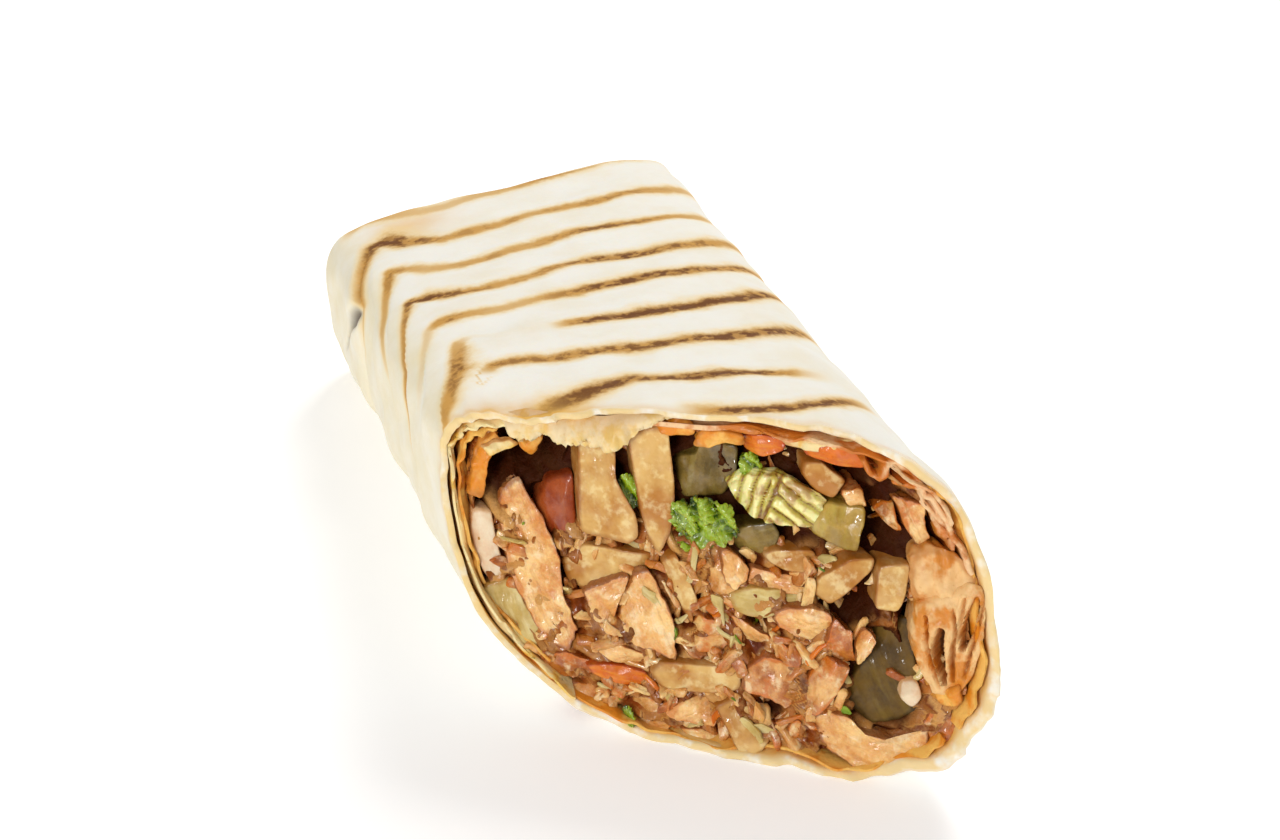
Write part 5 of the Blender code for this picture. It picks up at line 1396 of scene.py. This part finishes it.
# The folds at the right, pressed flat by the knife: the outline, and the slits and creases between them,
# each as a line (u, t) with its half width and its depth in millimetres
FOLDED = [
    (32.1, 2.6), (34.4, 4.4), (37.6, 5.6), (40.2, 8.2), (42.3, 7.4), (42.9, 3.4), (42.6, -2.0),
    (41.4, -7.4), (39.2, -11.4), (35.8, -11.9), (33.6, -9.2), (32.2, -6.2), (31.6, -2.4),
]
CREASES = [
    ([(35.9, -0.2), (35.6, -3.6), (36.1, -6.4), (36.9, -9.0)], 0.75, 4.5),
    ([(41.3, 5.9), (40.3, 1.7), (39.5, -2.8)], 0.7, 3.5),
    ([(33.5, 1.6), (33.7, -2.6), (34.6, -6.6), (36.2, -10.2)], 0.18, 1.3),
    ([(37.6, 3.4), (38.3, -0.4), (37.9, -5.0), (38.2, -8.4)], 0.2, 1.3),
    ([(42.6, 6.6), (41.7, 1.4), (40.6, -4.0), (39.9, -7.6)], 0.18, 1.2),
    ([(39.4, 5.6), (39.0, 2.0), (38.9, -1.6)], 0.15, 0.9),
]


def fold_parts():
    """The pressed folds: a slice whose front opens in long slits between raised, rounded sheet edges. Each
    slit is a step down within its half width of its line, which tapers to both ends."""
    shape = {"grain_turn": 80, "rough": 0.25, "furrow": 0.05, "facets": 0, "crown": 0.4, "edge": 0.5}
    points, faces, _ = cut_piece(FOLDED, 0.2, depth=6.0, seed=FOLD_SEED, **shape)
    u, t = in_face(points)
    front = ease((FACE_MIDDLE - points) @ FACE_OUT * 1000, 2.5, 1.2)
    height, opened = 0 * u, 0 * u
    for line, width, depth in CREASES:
        along = evenly(np.array(line, dtype=float), 60)
        half = width * np.sin(np.pi * np.linspace(0.03, 0.97, 60)) ** 0.7
        off = np.hypot(u[:, None] - along[:, 0], t[:, None] - along[:, 1]) - half
        off = off.min(axis=1) + 0.08 * ripple(points, 0.0012, 702)
        within = ease(off, 0.32, -0.12)
        height = np.minimum(height + 0.35 * bell(off, 0.6, 0.4), 0.6) - depth * within
        opened = np.maximum(opened, within * min(depth / 3, 1))
    points = points + FACE_OUT * (height * front / 1000)[:, None]
    return points, faces, {"edge": 1 - opened * front - 0.3 * (1 - front)}


fold_points, fold_faces, fold_fields = fold_parts()
folded = piece("flatbread_folded", fold_points, fold_faces, fold_dough, fold_fields, 60)
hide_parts("flatbread")

# The torn flap: where it hangs from, and where it ends, as lines (u, t)
FLAP_COLUMNS, FLAP_THICK = 110, 0.0009
FLAP_ROOT = [
    (-37.6, 23.6), (-33, 25.4), (-26, 25.4), (-20, 26.2), (-14, 27.6), (-8, 28.5),
]
FLAP_EDGE = [
    (-36.8, 22.8), (-35.6, 21.2), (-33.6, 20.6), (-29.8, 21.9), (-28.0, 21.0), (-24.4, 21.2),
    (-21.0, 21.6), (-18.4, 20.8), (-16.2, 22.8), (-13.0, 25.8), (-8.2, 28.2),
]


def flap_parts():
    """The torn flap: it bellies out over the cut from its root along the bread's edge, down to a ragged
    edge, with ripples that grow towards it, and lies in at both ends."""
    root = evenly(np.array(FLAP_ROOT, dtype=float), FLAP_COLUMNS)
    edge = evenly(np.array(FLAP_EDGE, dtype=float), FLAP_COLUMNS)
    share = np.linspace(0, 1, 26)[:, None]
    u, t = mixed(root[:, 0], edge[:, 0], share), mixed(root[:, 1], edge[:, 1], share)
    place = np.stack([u, t, 0 * u], axis=-1)
    t = t + (0.3 * ripple(place, 1.6, 791) + 0.22 * ripple(place, 0.7, 793)) * share**2
    out = 0.3 + 1.1 * np.sin(np.pi * share * 0.75) + 0.5 * ripple(place * (1.0, 0.4, 1.0), 4.0, 790) * share
    out = out + 0.35 * ripple(place * (1.0, 0.5, 1.0), 1.8, 792) * share
    ends = np.linspace(0, 1, FLAP_COLUMNS)
    out = out * ease(ends, 1.0, 0.85) * ease(ends, 0.0, 0.08)
    return on_face(u, t, -out), {"edge": 0.7 + 0.3 * share}


flap_middle, flap_fields = flap_parts()
flap = thin_sheet("flatbread_flap", flap_middle, FLAP_THICK, flap_dough, flap_fields)
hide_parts("flatbread")


# The room, the light and the camera
# A plain white table top and a soft light from behind on the right, as on a studio table.
PURE_WHITE = (1.0, 1.0, 1.0)


def floor_finish():
    """White board, faintly uneven, with a little light of its own."""
    glow = {"Emission Color": (*PURE_WHITE, 1.0), "Emission Strength": 0.22}
    made, shader, place = new_finish("table_white", {"Specular IOR Level": 0.2, **glow})
    connect(shader, {"Base Color": blend(noise(place, 0.3), (0.96, 0.96, 0.96), (0.97, 0.97, 0.97))})
    connect(shader, {"Roughness": stepped(noise(place, 0.2), 0.0, 1.0, 0.7, 0.8)})
    return made


floor_mesh = bpy.data.meshes.new("table_top")
floor_corners = [(-4, -4, 0), (4, -4, 0), (4, 4, 0), (-4, 4, 0)]
floor_mesh.from_pydata(floor_corners, [], [(0, 1, 2, 3)])
floor_mesh.materials.append(floor_finish())
floor = bpy.data.objects.new("table_top", floor_mesh)
bpy.context.scene.collection.objects.link(floor)

OBJECT_MIDDLE = np.array([0.0, 0.0, 0.027])


def soft_light(name, position, size, power, colour):
    """A square area light at a position, turned to the food."""
    lamp = bpy.data.lights.new(name, "AREA")
    lamp.shape = "SQUARE"
    lamp.size = size
    lamp.energy = power
    lamp.color = colour
    made = bpy.data.objects.new(name, lamp)
    bpy.context.scene.collection.objects.link(made)
    away = Vector(position) - Vector(OBJECT_MIDDLE)
    made.location = position
    made.rotation_euler = away.to_track_quat("Z", "Y").to_euler()


soft_light("window", (0.55, 0.55, 0.95), 0.5, 8.0, (1.0, 0.985, 0.96))
soft_light("side_fill", (-0.65, -0.75, 0.6), 0.35, 4.5, (1.0, 0.99, 0.98))
soft_light("glints", (-0.66, -0.60, 0.20), 0.07, 0.85, PURE_WHITE)
world = bpy.data.worlds.new("studio")
world.use_nodes = True
world.node_tree.nodes["Background"].inputs["Color"].default_value = (*PURE_WHITE, 1.0)
world.node_tree.nodes["Background"].inputs["Strength"].default_value = 0.44
bpy.context.scene.world = world
bpy.context.scene.view_settings.view_transform = "Standard"
bpy.context.scene.view_settings.look = "None"

CAMERA_PLACE = np.array([-0.10820457, -0.43851287, 0.32520481])
CAMERA_AIM = np.array([0.0038, 0.0020, 0.0245])
CAMERA_ROLL = math.radians(-3.75)
camera_data = bpy.data.cameras.new("camera")
camera_data.sensor_width = 36.0
camera_data.lens = 89.0
camera_data.clip_start = 0.01
camera = bpy.data.objects.new("camera", camera_data)
bpy.context.scene.collection.objects.link(camera)
look = Vector(CAMERA_PLACE - CAMERA_AIM)
camera.location = CAMERA_PLACE
aimed = look.to_track_quat("Z", "Y").to_matrix()
camera.rotation_euler = (aimed @ Matrix.Rotation(CAMERA_ROLL, 3, "Z")).to_euler()
bpy.context.scene.camera = camera
